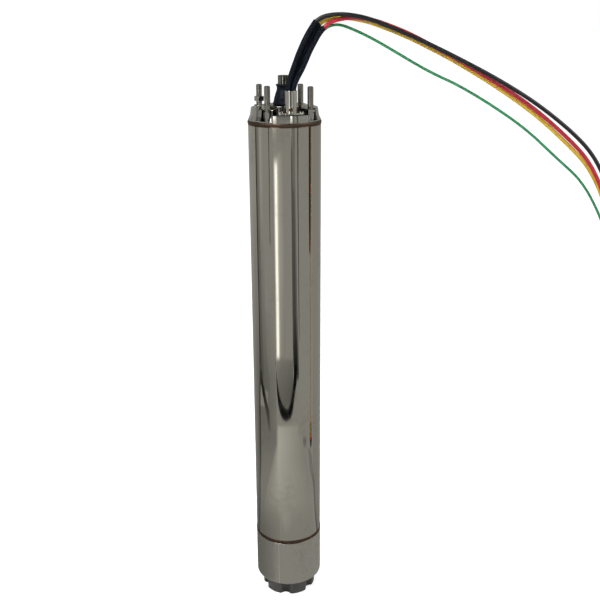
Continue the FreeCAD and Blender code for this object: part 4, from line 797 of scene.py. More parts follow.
def hexagon_piece(flats, bottom, top, centre, azimuth, bore=0.0, flat_foot=False):
    """A hexagon, with a bore or solid. With a flat foot only its upper corners are cut back."""
    seat = flats / 2 * 0.96
    leans = [math.radians(step * 360 // HEXAGON_STEPS % 60 - 30) for step in range(HEXAGON_STEPS)]
    reaches = [flats / 2 / math.cos(lean) for lean in leans]
    upper = [(reach, top - (reach - seat) * CONE_SLOPE) for reach in reaches]
    lower = [(reach, bottom + (reach - seat) * CONE_SLOPE) for reach in reaches]
    foot = [(seat, bottom)] * HEXAGON_STEPS
    if flat_foot:
        lower = [(reach, bottom) for reach in reaches]
        foot = [(reach * 0.999, bottom) for reach in reaches]
    rings = [foot, lower, upper, [(seat, top)] * HEXAGON_STEPS]
    if bore:
        rings.insert(0, [(bore + LEAD_IN, bottom)] * HEXAGON_STEPS)
        rings.insert(0, [(bore, bottom + LEAD_IN)] * HEXAGON_STEPS)
        rings.append([(bore + LEAD_IN, top)] * HEXAGON_STEPS)
        rings.append([(bore, top - LEAD_IN)] * HEXAGON_STEPS)
    points = []
    for ring in rings:
        for step, (radius, height) in enumerate(ring):
            x, y = on_circle(radius, step * 360 / HEXAGON_STEPS + azimuth)
            points.append((centre[0] + x, centre[1] + y, height))
    faces = band_faces(len(rings), HEXAGON_STEPS, loop=bore > 0.0)
    return points, faces if bore else faces + end_faces(points, HEXAGON_STEPS)


# %% [markdown]
# A screw thread is a ridge that winds up a bar. A grid of points does it: each point's radius
# depends on where it is within one pitch, and the rows climb by one pitch for each turn round, so
# the crests run unbroken. At the ends the thread fades into a chamfer.

# %% Threads
PITCH = 25.4 / 24
THREAD_DEPTH = 0.58
THREAD_STEPS = 40
THREAD_PROFILE = ((0.0, 1.0), (0.12, 1.0), (0.5, 0.0), (0.62, 0.0))


def thread_piece(radius, bottom, top, centre, phase):
    """The threaded surface of a bar. Its ends stay open, because the neck and the tip fill them."""
    rows = []
    for turn in range(-1, int((top - bottom) / PITCH) + 2):
        for share, crest in THREAD_PROFILE:
            rows.append((turn + share, radius - THREAD_DEPTH * (1.0 - crest)))
    points = []
    for climbed, ridge in rows:
        for step in range(THREAD_STEPS + 1):
            angle = phase + 2 * math.pi * step / THREAD_STEPS
            height = min(max(bottom + (climbed + step / THREAD_STEPS) * PITCH, bottom), top)
            reach = min(ridge, radius - 1.0 + (top - height) * 1.1, radius - 0.7 + (height - bottom) * 1.1)
            points.append((centre[0] + reach * math.cos(angle), centre[1] + reach * math.sin(angle), height))
    return points, band_faces(len(rows), THREAD_STEPS + 1, wrap=False)


# %% Studs: buried end, hexagonal collar, neck and thread
SLOT_FLOOR = 681.5
PUMP_FACE = 695.7
STUD_CIRCLE = 38.1
STUD_RADIUS = 3.97
BURIED_RADIUS = 3.65
WAIST_RADIUS = 2.95
TIP_RADIUS = 2.9
BURIED_DEPTH = 11.5
COLLAR_FLATS = 8.6
COLLAR_HEIGHT = 8.6
NECK_HEIGHT = 4.8
THREAD_LENGTH = 26.1
STUDS = {
    "rear_right": (45.0, 0.0), "rear_left": (135.0, 0.9), "front_left": (225.0, 2.5),
    "front_right": (315.0, 0.8),
}

stud_shapes = []
for azimuth, lift in STUDS.values():
    centre = on_circle(STUD_CIRCLE, azimuth)
    collar = SLOT_FLOOR + lift
    neck = collar + COLLAR_HEIGHT
    thread = neck + NECK_HEIGHT
    end = thread + THREAD_LENGTH
    buried = [
        (0.0, collar - BURIED_DEPTH), (BURIED_RADIUS, collar - BURIED_DEPTH, 0.6),
        (BURIED_RADIUS, collar + 0.2), (0.0, collar + 0.2),
    ]
    waist = [
        (0.0, neck - 0.2), (3.6, neck - 0.2), (WAIST_RADIUS, neck + 0.7, 0.5),
        (WAIST_RADIUS, thread - 0.3, 0.5), (3.4, thread + 0.4), (0.0, thread + 0.4),
    ]
    tip = [(0.0, end - 1.6), (TIP_RADIUS, end - 1.6), (TIP_RADIUS, end, 0.25), (0.0, end)]
    stud_shapes += [rod(corners, centre) for corners in (buried, waist, tip)]
    stud_shapes.append(hexagon_piece(COLLAR_FLATS, collar, neck, centre, azimuth))
    stud_shapes.append(thread_piece(STUD_RADIUS, thread, end - 0.3, centre, math.radians(azimuth)))
show("threaded_studs", joined(*stud_shapes), "stud_steel", "pump_studs", sharp=28.0)

# %% Nuts and washers on the studs
NUT_BORE = 4.02
nut_shapes = []
for flats, bottom, top, name in (
    (11.8, PUMP_FACE + 5.4, PUMP_FACE + 11.2, "rear_left"),
    (11.8, PUMP_FACE, PUMP_FACE + 5.8, "front_left"),
    (11.0, 690.9, 694.4, "front_right"),
):
    azimuth = STUDS[name][0]
    nut_shapes.append(hexagon_piece(flats, bottom, top, on_circle(STUD_CIRCLE, azimuth), azimuth, NUT_BORE))
show("stud_nuts", joined(*nut_shapes), "bright_steel", "pump_stud_nuts", sharp=28.0)

WASHER_BORE = 4.17
WASHER_RADIUS = 6.7
WASHER_TOP = PUMP_FACE + 0.8
washer_corners = [
    (WASHER_BORE, PUMP_FACE), (WASHER_RADIUS, PUMP_FACE, 0.15), (WASHER_RADIUS, WASHER_TOP, 0.3),
    (WASHER_BORE, WASHER_TOP, 0.15),
]
washer_shapes = []
for name in ("rear_left", "rear_right"):
    washer_shapes.append(spun(rounded(washer_corners), True, 64, on_circle(STUD_CIRCLE, STUDS[name][0])))
show("stud_washers", joined(*washer_shapes), "bright_steel", "pump_stud_washers")

# %% [markdown]
# ## The cast end bell
#
# The bell starts as a turned casting. A lobe with round ends is added at the front, a recess is
# sunk in it for the lead gland, and four slots that open outward are cut round the studs. The
# bevel comes last, because a casting's edges are all blunted alike.

# %% The end bell
RECESS_FLOOR = 688.9
RECESS_WALL = 28.0
ABOVE_BELL = 705.0
GLAND_PLACE = (0.0, -38.3)
GLAND_BORE = 6.5
PLUG_PLACE = (0.0, 35.0)
PLUG_FLOOR = 687.7
PLUG_HOLE = 3.55
TOWER_TOP = 698.6
TOWER_BORE = 13.05
RIM_HEIGHT = 680.0
SLOT_HALF = 6.0
SLOT_MIDDLE = 37.1
BEYOND_RIM = 54.0
FRONT = 270.0

bell_corners = [
    (44.35, 655.5), (44.35, RIM_HEIGHT), (45.6, RIM_HEIGHT, 0.3), (45.6, SLOT_FLOOR, 0.5), (45.2, SLOT_FLOOR),
    (43.2, 686.5, 1.5), (41.9, PUMP_FACE, 1.2), (RECESS_WALL, PUMP_FACE, 0.5), (RECESS_WALL, TOWER_TOP, 0.6),
    (TOWER_BORE, TOWER_TOP, 0.3), (TOWER_BORE, 689.5), (10.6, 689.5), (10.6, 683.5), (TOWER_BORE, 683.5),
    (TOWER_BORE, 653.5), (19.0, 653.5), (19.0, 669.5), (39.95, 669.5), (39.95, 655.5),
]


def sector(inner, outer, half_angle, corner=0.0):
    """A sector of a ring that faces the front, with its outer corners round or sharp."""
    end = math.radians(half_angle)
    turn = end - math.asin(corner / (outer - corner))
    reach = outer - corner
    rim = arc((0.0, 0.0), outer, -turn, turn, 40)
    if corner:
        first = arc((reach * math.cos(-turn), reach * math.sin(-turn)), corner, -end - math.pi / 2, -turn, 8)
        last = arc((reach * math.cos(turn), reach * math.sin(turn)), corner, turn, end + math.pi / 2, 8)
        rim = first + rim[1:-1] + last
    back = arc((0.0, 0.0), inner, end, -end, 40)
    return turned_outline(back[-1:] + rim + back[:-1], -90.0)


def slot_outline(azimuth):
    """A slot that is round at its inner end and runs out through the rim."""
    outline = [(BEYOND_RIM, -SLOT_HALF), (BEYOND_RIM, SLOT_HALF)]
    outline += arc((SLOT_MIDDLE, 0.0), SLOT_HALF, math.pi / 2, math.pi * 1.5, 16)
    return turned_outline(outline, azimuth)


front_lobe = sector(inner=38.4, outer=46.0, half_angle=34.0, corner=3.5)
lead_recess = sector(inner=RECESS_WALL, outer=52.0, half_angle=31.8)
bell_changes = [
    ("UNION", post(front_lobe, RIM_HEIGHT, RECESS_FLOOR)),
    drilled(lead_recess, RECESS_FLOOR, ABOVE_BELL),
]
for azimuth, lift in STUDS.values():
    bell_changes.append(drilled(slot_outline(azimuth), SLOT_FLOOR, ABOVE_BELL))
bell_changes.append(drilled(circle(GLAND_BORE, GLAND_PLACE), 664.0, 692.0))
bell_changes.append(drilled(circle(PLUG_HOLE, PLUG_PLACE), PLUG_FLOOR, 700.0))
bell_mesh = milled(spun(rounded(bell_corners, True, 4), True, 192), bell_changes, 0.45)


def bell_painted_shade(away, height, facing, turn):
    """How much painted shade the bell gets at a point: the recess's back wall, the walls of the slots, and,
    as a painted dark reflection, the narrow strip between the front left slot and the lobe."""
    if RECESS_WALL - 0.5 < away < RECESS_WALL + 0.6 and height > RECESS_FLOOR and abs(turn - FRONT) < 33.0:
        return 0.8
    strip_end = 238.2 if height < RECESS_FLOOR - 0.2 else 236.8
    if 231.5 < turn < strip_end and away > STUD_CIRCLE - 0.1 and height > SLOT_FLOOR - 0.1:
        return 1.0
    return float(SLOT_FLOOR - 0.2 < height < PUMP_FACE - 0.3 and (away < 41.0 or facing < 0.85))


# The bell's slot walls, recess wall and the strip beside the front left slot get painted shade.
mark_painted_shade(bell_mesh, bell_painted_shade)
show("cast_end_bell", bell_mesh, "cast_steel", "upper_end_bell", sharp=32.0)

# %% [markdown]
# ## The lead gland
#
# The leads leave through a short tube held by an oval plate on a gasket. The oval is a circle in
# the middle and a smaller one at each ear, joined by tangents.

# %% Oval gasket and plate
OVAL_RADIUS = 8.3
EAR_RADIUS = 3.9
EAR_OFFSET = 12.9
PLATE_BOTTOM = 689.9
PLATE_TOP = 691.5

lean = math.acos((OVAL_RADIUS - EAR_RADIUS) / EAR_OFFSET)
oval = []
for across, radius, first, last in (
    (EAR_OFFSET, EAR_RADIUS, -lean, lean),
    (0.0, OVAL_RADIUS, lean, math.pi - lean),
    (-EAR_OFFSET, EAR_RADIUS, math.pi - lean, math.pi + lean),
    (0.0, OVAL_RADIUS, math.pi + lean, 2 * math.pi - lean),
):
    oval += arc((across, GLAND_PLACE[1]), radius, first, last, 16)


def gland_flat(name, bottom, top, finish, node, bevel):
    """An oval flat piece with its bore and its two screw holes."""
    holes = [drilled(circle(GLAND_BORE, GLAND_PLACE), bottom - 1.0, top + 1.0)]
    for side in (-EAR_OFFSET, EAR_OFFSET):
        holes.append(drilled(circle(1.55, (side, GLAND_PLACE[1]), 24), bottom - 1.0, top + 1.0))
    show(name, milled(post(oval, bottom, top), holes, bevel), finish, node)


gland_flat("oval_gasket", RECESS_FLOOR, PLATE_BOTTOM, "black_rubber", "gland_gasket", 0.12)
gland_flat("oval_plate", PLATE_BOTTOM, PLATE_TOP, "bright_steel", "gland_plate", 0.3)

# %% The tube and the rubber plug in it
TUBE_RADIUS = 7.3
TUBE_TOP = 718.3

tube_corners = [
    (GLAND_BORE, PLATE_TOP), (TUBE_RADIUS, PLATE_TOP, 0.3), (TUBE_RADIUS, TUBE_TOP, 0.35),
    (GLAND_BORE, TUBE_TOP, 0.35),
]
turned_piece("gland_barrel", tube_corners, "tube_steel", "gland_tube", centre=GLAND_PLACE)
grommet_corners = [(0.0, 680.9), (6.45, 680.9, 0.5), (6.45, 718.0, 0.8), (3.0, 717.6), (0.0, 717.5)]
turned_piece("rubber_plug", grommet_corners, "black_rubber", "lead_grommet", closed=False, centre=GLAND_PLACE)

# %% Screws: a turned body with a cross cut into its head
def screw_mesh(corners, long, wide, floor, top, turn):
    """A screw about the origin. Long and wide are half sizes of the cross's bars."""
    bar = [(-long, -wide), (long, -wide), (long, wide), (-long, wide)]
    cuts = [drilled(turned_outline(bar, turn + angle), floor, top) for angle in (0.0, 90.0)]
    return milled(rod(corners), cuts, 0.08, 2)


def merged(meshes):
    """Join meshes into one."""
    work = bmesh.new()
    for mesh in meshes:
        work.from_mesh(mesh)
    whole = bpy.data.meshes.new("made")
    work.to_mesh(whole)
    work.free()
    return whole


def placed(mesh, *places):
    """One mesh with a copy of a mesh at each place."""
    copies = [mesh.copy() for place in places]
    for copy, place in zip(copies, places):
        copy.transform(place)
    return merged(copies)


pan_head = [
    (0.0, -8.1), (1.5, -8.1, 0.3), (1.5, 0.0), (3.2, 0.0, 0.2), (3.2, 1.2, 0.9), (2.2, 2.45, 0.8), (0.0, 2.6),
]
plate_screw = screw_mesh(pan_head, 2.1, 0.4, 1.3, 4.0, 20.0)
ears = [(side, GLAND_PLACE[1], PLATE_TOP) for side in (-EAR_OFFSET, EAR_OFFSET)]
places = [Matrix.Translation(Vector(ear) * MM) for ear in ears]
show("plate_screws", placed(plate_screw, *places), "bright_steel", "gland_screws")

foot_head = [
    (0.0, 28.0), (2.0, 28.0, 0.3), (2.0, 3.0), (4.0, 3.0, 0.3), (4.0, 0.6, 0.7), (3.2, 0.0, 0.4), (0.0, 0.0),
]
foot_screw = screw_mesh(foot_head, 2.4, 0.45, -1.0, 1.6, 15.0)
places = [Matrix.Translation(Vector((*on_circle(SCREW_CIRCLE, turn), 3.0)) * MM) for turn in SCREW_ANGLES]
show("foot_screw_set", placed(foot_screw, *places), "bright_steel", "foot_screws")

set_head = [
    (0.0, -0.8), (1.2, -0.8), (1.2, 0.0), (2.65, 0.0, 0.1), (2.65, 0.5, 0.3), (1.9, 0.9, 0.4), (0.0, 0.9),
]
set_screw = screw_mesh(set_head, 1.6, 0.28, 0.35, 2.0, 10.0)
set_out = Vector((*on_circle(1.0, 258.0), 0.0))
set_place = Matrix.Translation((Vector((*GLAND_PLACE, 696.2)) + set_out * TUBE_RADIUS) * MM)
set_aim = set_out.to_track_quat("Z", "Y").to_matrix().to_4x4()
show("brown_set_screw", placed(set_screw, set_place @ set_aim), "brown_screw", "gland_set_screw")

# %% The filling plug in the face
plug_corners = [(0.0, PLUG_FLOOR), (3.5, PLUG_FLOOR, 0.4), (3.5, PUMP_FACE + 0.3), (0.0, PUMP_FACE + 0.3)]
plug_head = hexagon_piece(9.0, PUMP_FACE, PUMP_FACE + 1.8, PLUG_PLACE, 0.0, flat_foot=True)
plug_mesh = joined(rod(plug_corners, PLUG_PLACE), plug_head)
show("filling_plug", plug_mesh, "bright_steel", "fill_plug", sharp=28.0)

# %% [markdown]
# ## Shaft and boot
#
# The shaft's end carries fourteen spline teeth. Their outline is drawn once, gap by gap, and
# raised in a few rows so that the top can be chamfered. A small centre hole, left by the lathe,
# is in the end. Everything below the spline is one turned outline.

# %% The splined shaft
TEETH = 14
SHAFT_END = 733.9
SPLINE_START = 719.5
SPLINE_RADIUS = 7.94
SPLINE_ROOT = 6.89
CENTRE_HOLE = 1.7


def spline_outline(outer):
    """The outline of the spline's teeth at one height."""
    outline = []
    root = min(SPLINE_ROOT, outer - 0.05)
    wide = math.asin(1.28 / outer)
    narrow = math.asin(0.95 / root)
    top = 2 * math.pi / TEETH - 2 * wide
    gap = [(-wide, outer), (-narrow, root), (0.0, root), (narrow, root), (wide, outer)]
    gap += [(wide + top * share, outer) for share in (0.33, 0.67)]
    for tooth in range(TEETH):
        middle = 2 * math.pi * tooth / TEETH
        for angle, radius in gap:
            outline.append((radius * math.cos(middle + angle), radius * math.sin(middle + angle)))
    return outline


spline_rows = [
    (spline_outline(SPLINE_RADIUS - 0.5), SPLINE_START),
    (spline_outline(SPLINE_RADIUS), SPLINE_START + 0.6),
    (spline_outline(SPLINE_RADIUS), SHAFT_END - 0.7),
    (spline_outline(SPLINE_RADIUS - 0.55), SHAFT_END - 0.15),
    (spline_outline(SPLINE_RADIUS - 0.8), SHAFT_END),
]
hole = [tuple(Vector(point).normalized() * CENTRE_HOLE) for point in spline_rows[-1][0]]
spline_points, spline_faces = stacked(spline_rows + [(hole, SHAFT_END)])
# The second face would close the hole. A cone comes in its place.
spline_faces.pop(1)
hole_start = len(spline_points) - len(hole)
for step in range(len(hole)):
    spline_faces.append((hole_start + step, hole_start + (step + 1) % len(hole), len(spline_points)))
spline_points.append((0.0, 0.0, SHAFT_END - 2.2))

shaft_corners = [
    (0.0, 79.5), (8.0, 79.5, 0.5), (8.0, 117.5, 0.3), (10.0, 117.5, 0.5), (10.0, 177.5, 0.3),
    (12.5, 177.5, 0.4), (12.5, 651.5, 0.4), (10.0, 651.5, 0.3), (10.0, 685.5, 0.5), (8.0, 685.5, 0.3),
    (8.0, 698.8, 0.4), (7.0, 698.8, 0.3), (7.0, SPLINE_START + 0.4), (0.0, SPLINE_START + 0.4),
]
shaft_mesh = joined(spun(rounded(shaft_corners, False, 3), False, 96), (spline_points, spline_faces))
# Painted shade at the roots of the spline's grooves.
mark_painted_shade(
    shaft_mesh, lambda away, height, facing, turn: float(height > 720.0 and 1.8 < away < SPLINE_ROOT + 0.1))
show("shaft_with_spline", shaft_mesh, "shaft_steel", "splined_shaft", body="rotor", sharp=26.0)

# %% [markdown]
# The boot is soft rubber that grips the shaft and spins with it. Its skirt curves in to a narrow
# neck and ends in a thin lip, so its outline is a smooth curve between a few heights.

# %% The rubber boot
BOOT_BOTTOM = 699.0
skirt = [
    (14.3, 1.2), (13.4, 4.0), (12.9, 6.5), (12.2, 9.0), (11.5, 11.5), (10.8, 13.8), (10.0, 15.8),
    (9.5, 17.4), (9.3, 19.0),
]
boot_outline = [(14.5, 0.0, 0.4)] + [(radius, height, 30.0) for radius, height in skirt]
boot_outline += [(9.3, 21.3, 0.8), (10.5, 22.5, 0.3), (10.5, 24.2, 0.5), (8.24, 24.2, 0.3), (8.24, 20.4)]
boot_outline += [(7.05, 20.4), (7.05, 3.0), (12.5, 3.0, 0.5), (12.5, 0.0, 0.3)]
boot_corners = [(radius, height + BOOT_BOTTOM, *turn) for radius, height, *turn in boot_outline]
turned_piece("rubber_boot", boot_corners, "black_rubber", "sand_slinger_boot", segments=128, body="rotor")

# %% [markdown]
# ## Leads and their sleeves
#
# Three power leads and a thin earth lead leave the tube together. Each runs on one smooth NURBS
# curve, whose control points are the route that the solids follow. What the photograph doesn't
# show of a lead hangs down outside the view, and is wound into a tied coil on the floor.

# %% The routes, in metres
BLACK_SLEEVE_ROUTE = [
    (-0.0036, -0.0398, 0.7183), (-0.0036, -0.0398, 0.7232), (-0.0013, -0.0405, 0.7334),
    (0.0036, -0.0417, 0.7480), (0.0101, -0.0441, 0.7651), (0.0168, -0.0460, 0.7798),
    (0.0233, -0.0474, 0.7904), (0.0280, -0.0484, 0.7969),
]
YELLOW_SLEEVE_ROUTE = [
    (-0.0007, -0.0342, 0.7183), (-0.0007, -0.0342, 0.7230), (0.0029, -0.0349, 0.7325),
    (0.0097, -0.0381, 0.7466), (0.0164, -0.0401, 0.7626), (0.0228, -0.0420, 0.7763),
    (0.0285, -0.0432, 0.7864), (0.0335, -0.0442, 0.7939),
]
RED_SLEEVE_ROUTE = [
    (0.0028, -0.0412, 0.7183), (0.0028, -0.0412, 0.7230), (0.0069, -0.0427, 0.7326),
    (0.0139, -0.0449, 0.7457), (0.0204, -0.0468, 0.7617), (0.0268, -0.0481, 0.7741),
    (0.0319, -0.0492, 0.7831), (0.0372, -0.0503, 0.7898),
]
BLACK_ROUTE = [
    (0.0280, -0.0484, 0.7969), (0.0324, -0.0494, 0.8004), (0.0392, -0.0511, 0.8032),
    (0.0492, -0.0540, 0.8049), (0.0633, -0.0579, 0.8049), (0.0837, -0.0628, 0.8014),
    (0.1057, -0.0674, 0.7937), (0.1358, -0.0738, 0.7815), (0.1627, -0.0796, 0.7692),
    (0.1908, -0.0855, 0.7558), (0.2400, -0.0950, 0.7310), (0.2910, -0.1040, 0.7010),
    (0.3400, -0.1120, 0.6640),
]
YELLOW_ROUTE = [
    (0.0335, -0.0442, 0.7939), (0.0380, -0.0450, 0.7975), (0.0450, -0.0455, 0.8001),
    (0.0542, -0.0460, 0.8012), (0.0700, -0.0478, 0.8008), (0.0911, -0.0511, 0.7968),
    (0.1121, -0.0555, 0.7893), (0.1404, -0.0615, 0.7778), (0.1678, -0.0674, 0.7644),
    (0.1963, -0.0734, 0.7497), (0.2450, -0.0835, 0.7210), (0.2940, -0.0930, 0.6880),
    (0.3380, -0.1015, 0.6500),
]
RED_ROUTE = [
    (0.0372, -0.0503, 0.7898), (0.0408, -0.0509, 0.7936), (0.0462, -0.0512, 0.7968),
    (0.0544, -0.0516, 0.7993), (0.0650, -0.0526, 0.8009), (0.0770, -0.0546, 0.8013),
    (0.0930, -0.0576, 0.7991), (0.1124, -0.0617, 0.7929), (0.1393, -0.0674, 0.7822),
    (0.1660, -0.0731, 0.7683), (0.1937, -0.0790, 0.7541), (0.2410, -0.0885, 0.7270),
    (0.2910, -0.0975, 0.6950), (0.3370, -0.1055, 0.6570),
]
GREEN_ROUTE = [
    (0.0043, -0.0359, 0.7183), (0.0043, -0.0359, 0.7236), (0.0080, -0.0363, 0.7316),
    (0.0154, -0.0370, 0.7464), (0.0224, -0.0385, 0.7625), (0.0295, -0.0395, 0.7750),
    (0.0371, -0.0406, 0.7857), (0.0475, -0.0408, 0.7926), (0.0593, -0.0423, 0.7936),
    (0.0736, -0.0443, 0.7885), (0.0964, -0.0491, 0.7781), (0.1248, -0.0552, 0.7620),
    (0.1535, -0.0613, 0.7452), (0.1761, -0.0661, 0.7336), (0.1988, -0.0709, 0.7237),
    (0.2400, -0.0800, 0.7000), (0.2860, -0.0905, 0.6690), (0.3270, -0.0985, 0.6320),
]
COIL_CENTRE = (0.4950, -0.1460)
COIL_TOP = 0.026
FALL_SHARES = [
    (0.22, 0.955), (0.40, 0.885), (0.55, 0.80), (0.67, 0.71), (0.77, 0.615), (0.85, 0.52),
    (0.91, 0.425), (0.955, 0.33), (0.985, 0.235), (1.005, 0.145), (1.01, 0.06),
]
print("routes:", len(BLACK_ROUTE), len(YELLOW_ROUTE), len(RED_ROUTE), len(GREEN_ROUTE))

# %% From the edge of the view down to the coil, and round it
LEADS = {
    "black": (BLACK_ROUTE, 0.0050, 0.043, 200.0, 3.3),
    "red": (RED_ROUTE, 0.0050, 0.038, 180.0, 3.7),
    "yellow": (YELLOW_ROUTE, 0.0050, 0.033, 160.0, 4.3),
    "green": (GREEN_ROUTE, 0.0033, 0.028, 140.0, 5.2),
}
POINTS_PER_TURN = 18


def on_coil(radius, angle, height):
    """A place round the coil's middle."""
    return COIL_CENTRE[0] + radius * math.cos(angle), COIL_CENTRE[1] + radius * math.sin(angle), height


def falling(start, entry):
    """The hanging stretch, as shares of the way across and of the height."""
    points = []
    for along, height in FALL_SHARES:
        shares = (along, along, 1.0 - height)
        points.append(tuple(a + (b - a) * share for a, b, share in zip(start, entry, shares)))
    return points + [entry]


def coiled(radius, azimuth, turns, diameter):
    """Turns of a lead wound downward, each one lying on the next."""
    bottom = 0.001 + diameter / 2
    pitch = diameter * 1.03
    points = []
    for step in range(2, int(turns * POINTS_PER_TURN) + 1):
        turn = step / POINTS_PER_TURN
        angle = math.radians(azimuth) + 2 * math.pi * turn
        points.append(on_coil(radius / 0.985, angle, bottom + pitch * (turns - turn)))
    return points


def smooth_line(name, points, radius):
    """A smooth NURBS curve through space, with a round section or none."""
    curve = bpy.data.curves.new(name, "CURVE")
    curve.dimensions = "3D"
    spline = curve.splines.new("NURBS")
    spline.points.add(len(points) - 1)
    for knot, place in zip(spline.points, points):
        knot.co = (*place, 1.0)
    spline.order_u = 3
    spline.use_endpoint_u = True
    spline.resolution_u = 8
    curve.bevel_depth = radius
    curve.bevel_resolution = 6
    curve.use_fill_caps = radius > 0.0
    return put_in_scene(name, curve)


lead_lines = {}
for colour, (route, diameter, radius, azimuth, turns) in LEADS.items():
    entry = on_coil(radius, math.radians(azimuth), COIL_TOP)
    points = route + falling(route[-1], entry) + coiled(radius, azimuth, turns, diameter)
    lead = smooth_line(colour + "_lead", points, diameter / 2)
    lead.data.materials.append(materials["lead_" + colour])
    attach(lead, "motor_body")
    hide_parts("lead_" + colour, "lead_coil")
    lead_lines[colour] = lead
    print("lead:", colour, len(points), "points")

# %% [markdown]
# A braided sleeve is an open tube with a woven wall, so it is a mesh tube that follows the smooth
# curve. Each of its points keeps how far along and how far round it is, and the braid is drawn
# from those two numbers, which keeps the strands the same size all along the bends.

# %% Sleeves
BRAID_STEPS = 40
BRAID_RADIUS = 0.0031
BRAID_INNER = 0.0026
SLANT = 0.0012
FLARED_ROWS = 6


def sleeve_mesh(places):
    """A hollow tube along a line. Its far end is cut at a slant, and its wall is slightly uneven."""
    upward = Vector((0.0, 1.0, 0.0))
    along = 0.0
    outside = []
    for index, place in enumerate(places):
        side = (places[min(index + 1, len(places) - 1)] - places[max(index - 1, 0)]).normalized()
        upward = (upward - side * upward.dot(side)).normalized()
        across = side.cross(upward)
        if index:
            along += (place - places[index - 1]).length
        last = max(0.0, (index + 1 + FLARED_ROWS - len(places)) / FLARED_ROWS)
        for step in range(BRAID_STEPS):
            angle = 2 * math.pi * step / BRAID_STEPS
            uneven = 0.012 * math.sin(3 * angle + along * 210.0) + 0.01 * math.sin(along * 330.0)
            way = upward * math.cos(angle) + across * math.sin(angle)
            forward = side * (SLANT * math.cos(angle - 2.2) * last)
            point = place + way * BRAID_RADIUS * (1.0 + 0.05 * last ** 2 + uneven) + forward
            outside.append((point, place, (along, step / BRAID_STEPS)))
    inside = []
    for row in range(len(places) - 1, -1, -1):
        for point, place, fact in outside[row * BRAID_STEPS:(row + 1) * BRAID_STEPS]:
            inside.append((place + (point - place) * (BRAID_INNER / BRAID_RADIUS), place, fact))
    everything = outside + inside
    points = [tuple(point) for point, place, fact in everything]
    mesh = mesh_of(points, band_faces(2 * len(places), BRAID_STEPS, loop=True))
    layer = mesh.uv_layers.new(name="along_round")
    for polygon in mesh.polygons:
        facts = [everything[vertex][2] for vertex in polygon.vertices]
        turns = [turn for length, turn in facts]
        wraps = max(turns) - min(turns) > 0.5
        for loop, (length, turn) in zip(polygon.loop_indices, facts):
            layer.data[loop].uv = (length, 1.0 if wraps and turn == 0.0 else turn)
    return mesh


SLEEVES = {"black": BLACK_SLEEVE_ROUTE, "yellow": YELLOW_SLEEVE_ROUTE, "red": RED_SLEEVE_ROUTE}
for colour, route in SLEEVES.items():
    line = smooth_line(colour + "_sleeve_line", route, 0.0)
    places = [point.co.copy() for point in applied(line).vertices]
    bpy.data.objects.remove(line)
    sleeve = show(colour + "_braided_sleeve", sleeve_mesh(places), "sleeve_braid", colour + "_lead_sleeve")

# %% [markdown]
# Each lead is really 2.0 m long. The coil's tie is a thin strap with a small head, closed round the turns.

def strap_ring(left, right, low, high, turn, half):
    """A rounded rectangle round the coil's turns, on one side of the strap's middle."""
    corners = rounded([(left, low, turn), (right, low, turn), (right, high, turn), (left, high, turn)])
    return [(COIL_CENTRE[0] / MM + x, COIL_CENTRE[1] / MM + half, z) for x, z in corners]


def strap_block(outline, bottom, top, bevel):
    """A small block of the strap, placed from the coil's middle."""
    level = [(x + COIL_CENTRE[0] / MM, y + COIL_CENTRE[1] / MM) for x, y in outline]
    return milled(post(level, bottom, top), (), bevel)


OUTSIDE = (24.35, 47.15, 0.0, 27.15, 3.2)
INSIDE = (25.35, 46.15, 1.0, 26.15, 2.4)
rings = []
for size, half in ((OUTSIDE, -2.0), (INSIDE, -2.0), (INSIDE, 2.0), (OUTSIDE, 2.0)):
    rings.append(strap_ring(*size, half))
band = joined((sum(rings, []), band_faces(4, len(rings[0]), loop=True)))
head = strap_block([(32.0, -3.2), (39.0, -3.2), (39.0, 3.2), (32.0, 3.2)], 26.5, 29.7, 0.5)
tail = strap_block([(39.0, -2.0), (52.0, -1.6), (52.0, 1.6), (39.0, 2.0)], 27.7, 28.7, 0.25)
strap = show("coil_strap", merged([band, head, tail]), "tie_plastic", "coil_tie")

for colour, lead in lead_lines.items():
    route, diameter = LEADS[colour][:2]

# %% [markdown]
# ## Parts that the case hides
#
# The stator, rotor, bearings, and the cup and disc of the diaphragm are plain enough as solids.
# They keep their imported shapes, and only get finishes, so that the model is right when it is cut
# open.

# %% Finishes for the inner parts
INNER_PARTS = {
    "upper_bearing_bush": "carbon", "lower_bearing_bush": "carbon", "shaft_seal": "black_rubber",
    "stator_core": "lamination", "stator_winding": "copper", "stator_liner": "bright_steel",
    "rotor_core": "lamination", "rotor_end_rings": "copper", "lower_bearing_carrier": "inner_casting",
    "upthrust_washer": "washer_plastic", "thrust_disc": "carbon", "thrust_pads": "bright_steel",
    "thrust_pad_carrier": "bright_steel", "thrust_pivot_screw": "shaft_steel",
    "thrust_housing": "inner_casting", "diaphragm_plate": "inner_casting", "diaphragm_cover": "inner_casting",
}
for node, finish in INNER_PARTS.items():
    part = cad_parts[node]
    part.data.materials.clear()
    part.data.materials.append(materials[finish])
print("inner parts:", len(INNER_PARTS))

# %% [markdown]
# The disc under the diaphragm moves up and down when the filling warms and cools. The rubber is held at its
# rim and goes with the disc in the middle, and the spring below is pressed together or let out.

# %% Diaphragm and spring
DISC_BOTTOM = 36.94
DISC_TOP = 38.94
FILM = 1.5
RIM_BOTTOM = 44.94
RIM_TOP = 47.94
COVER_FLOOR = 27.0
HAIR = 0.05
WIRE = 0.7
SPRING_RADIUS = 14.0
SPRING_TURNS = 3
WIRE_STEPS = 64
WIRE_SIDES = 12


def bend(piece):
    """Bake a piece's place into its mesh."""
    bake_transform(piece)


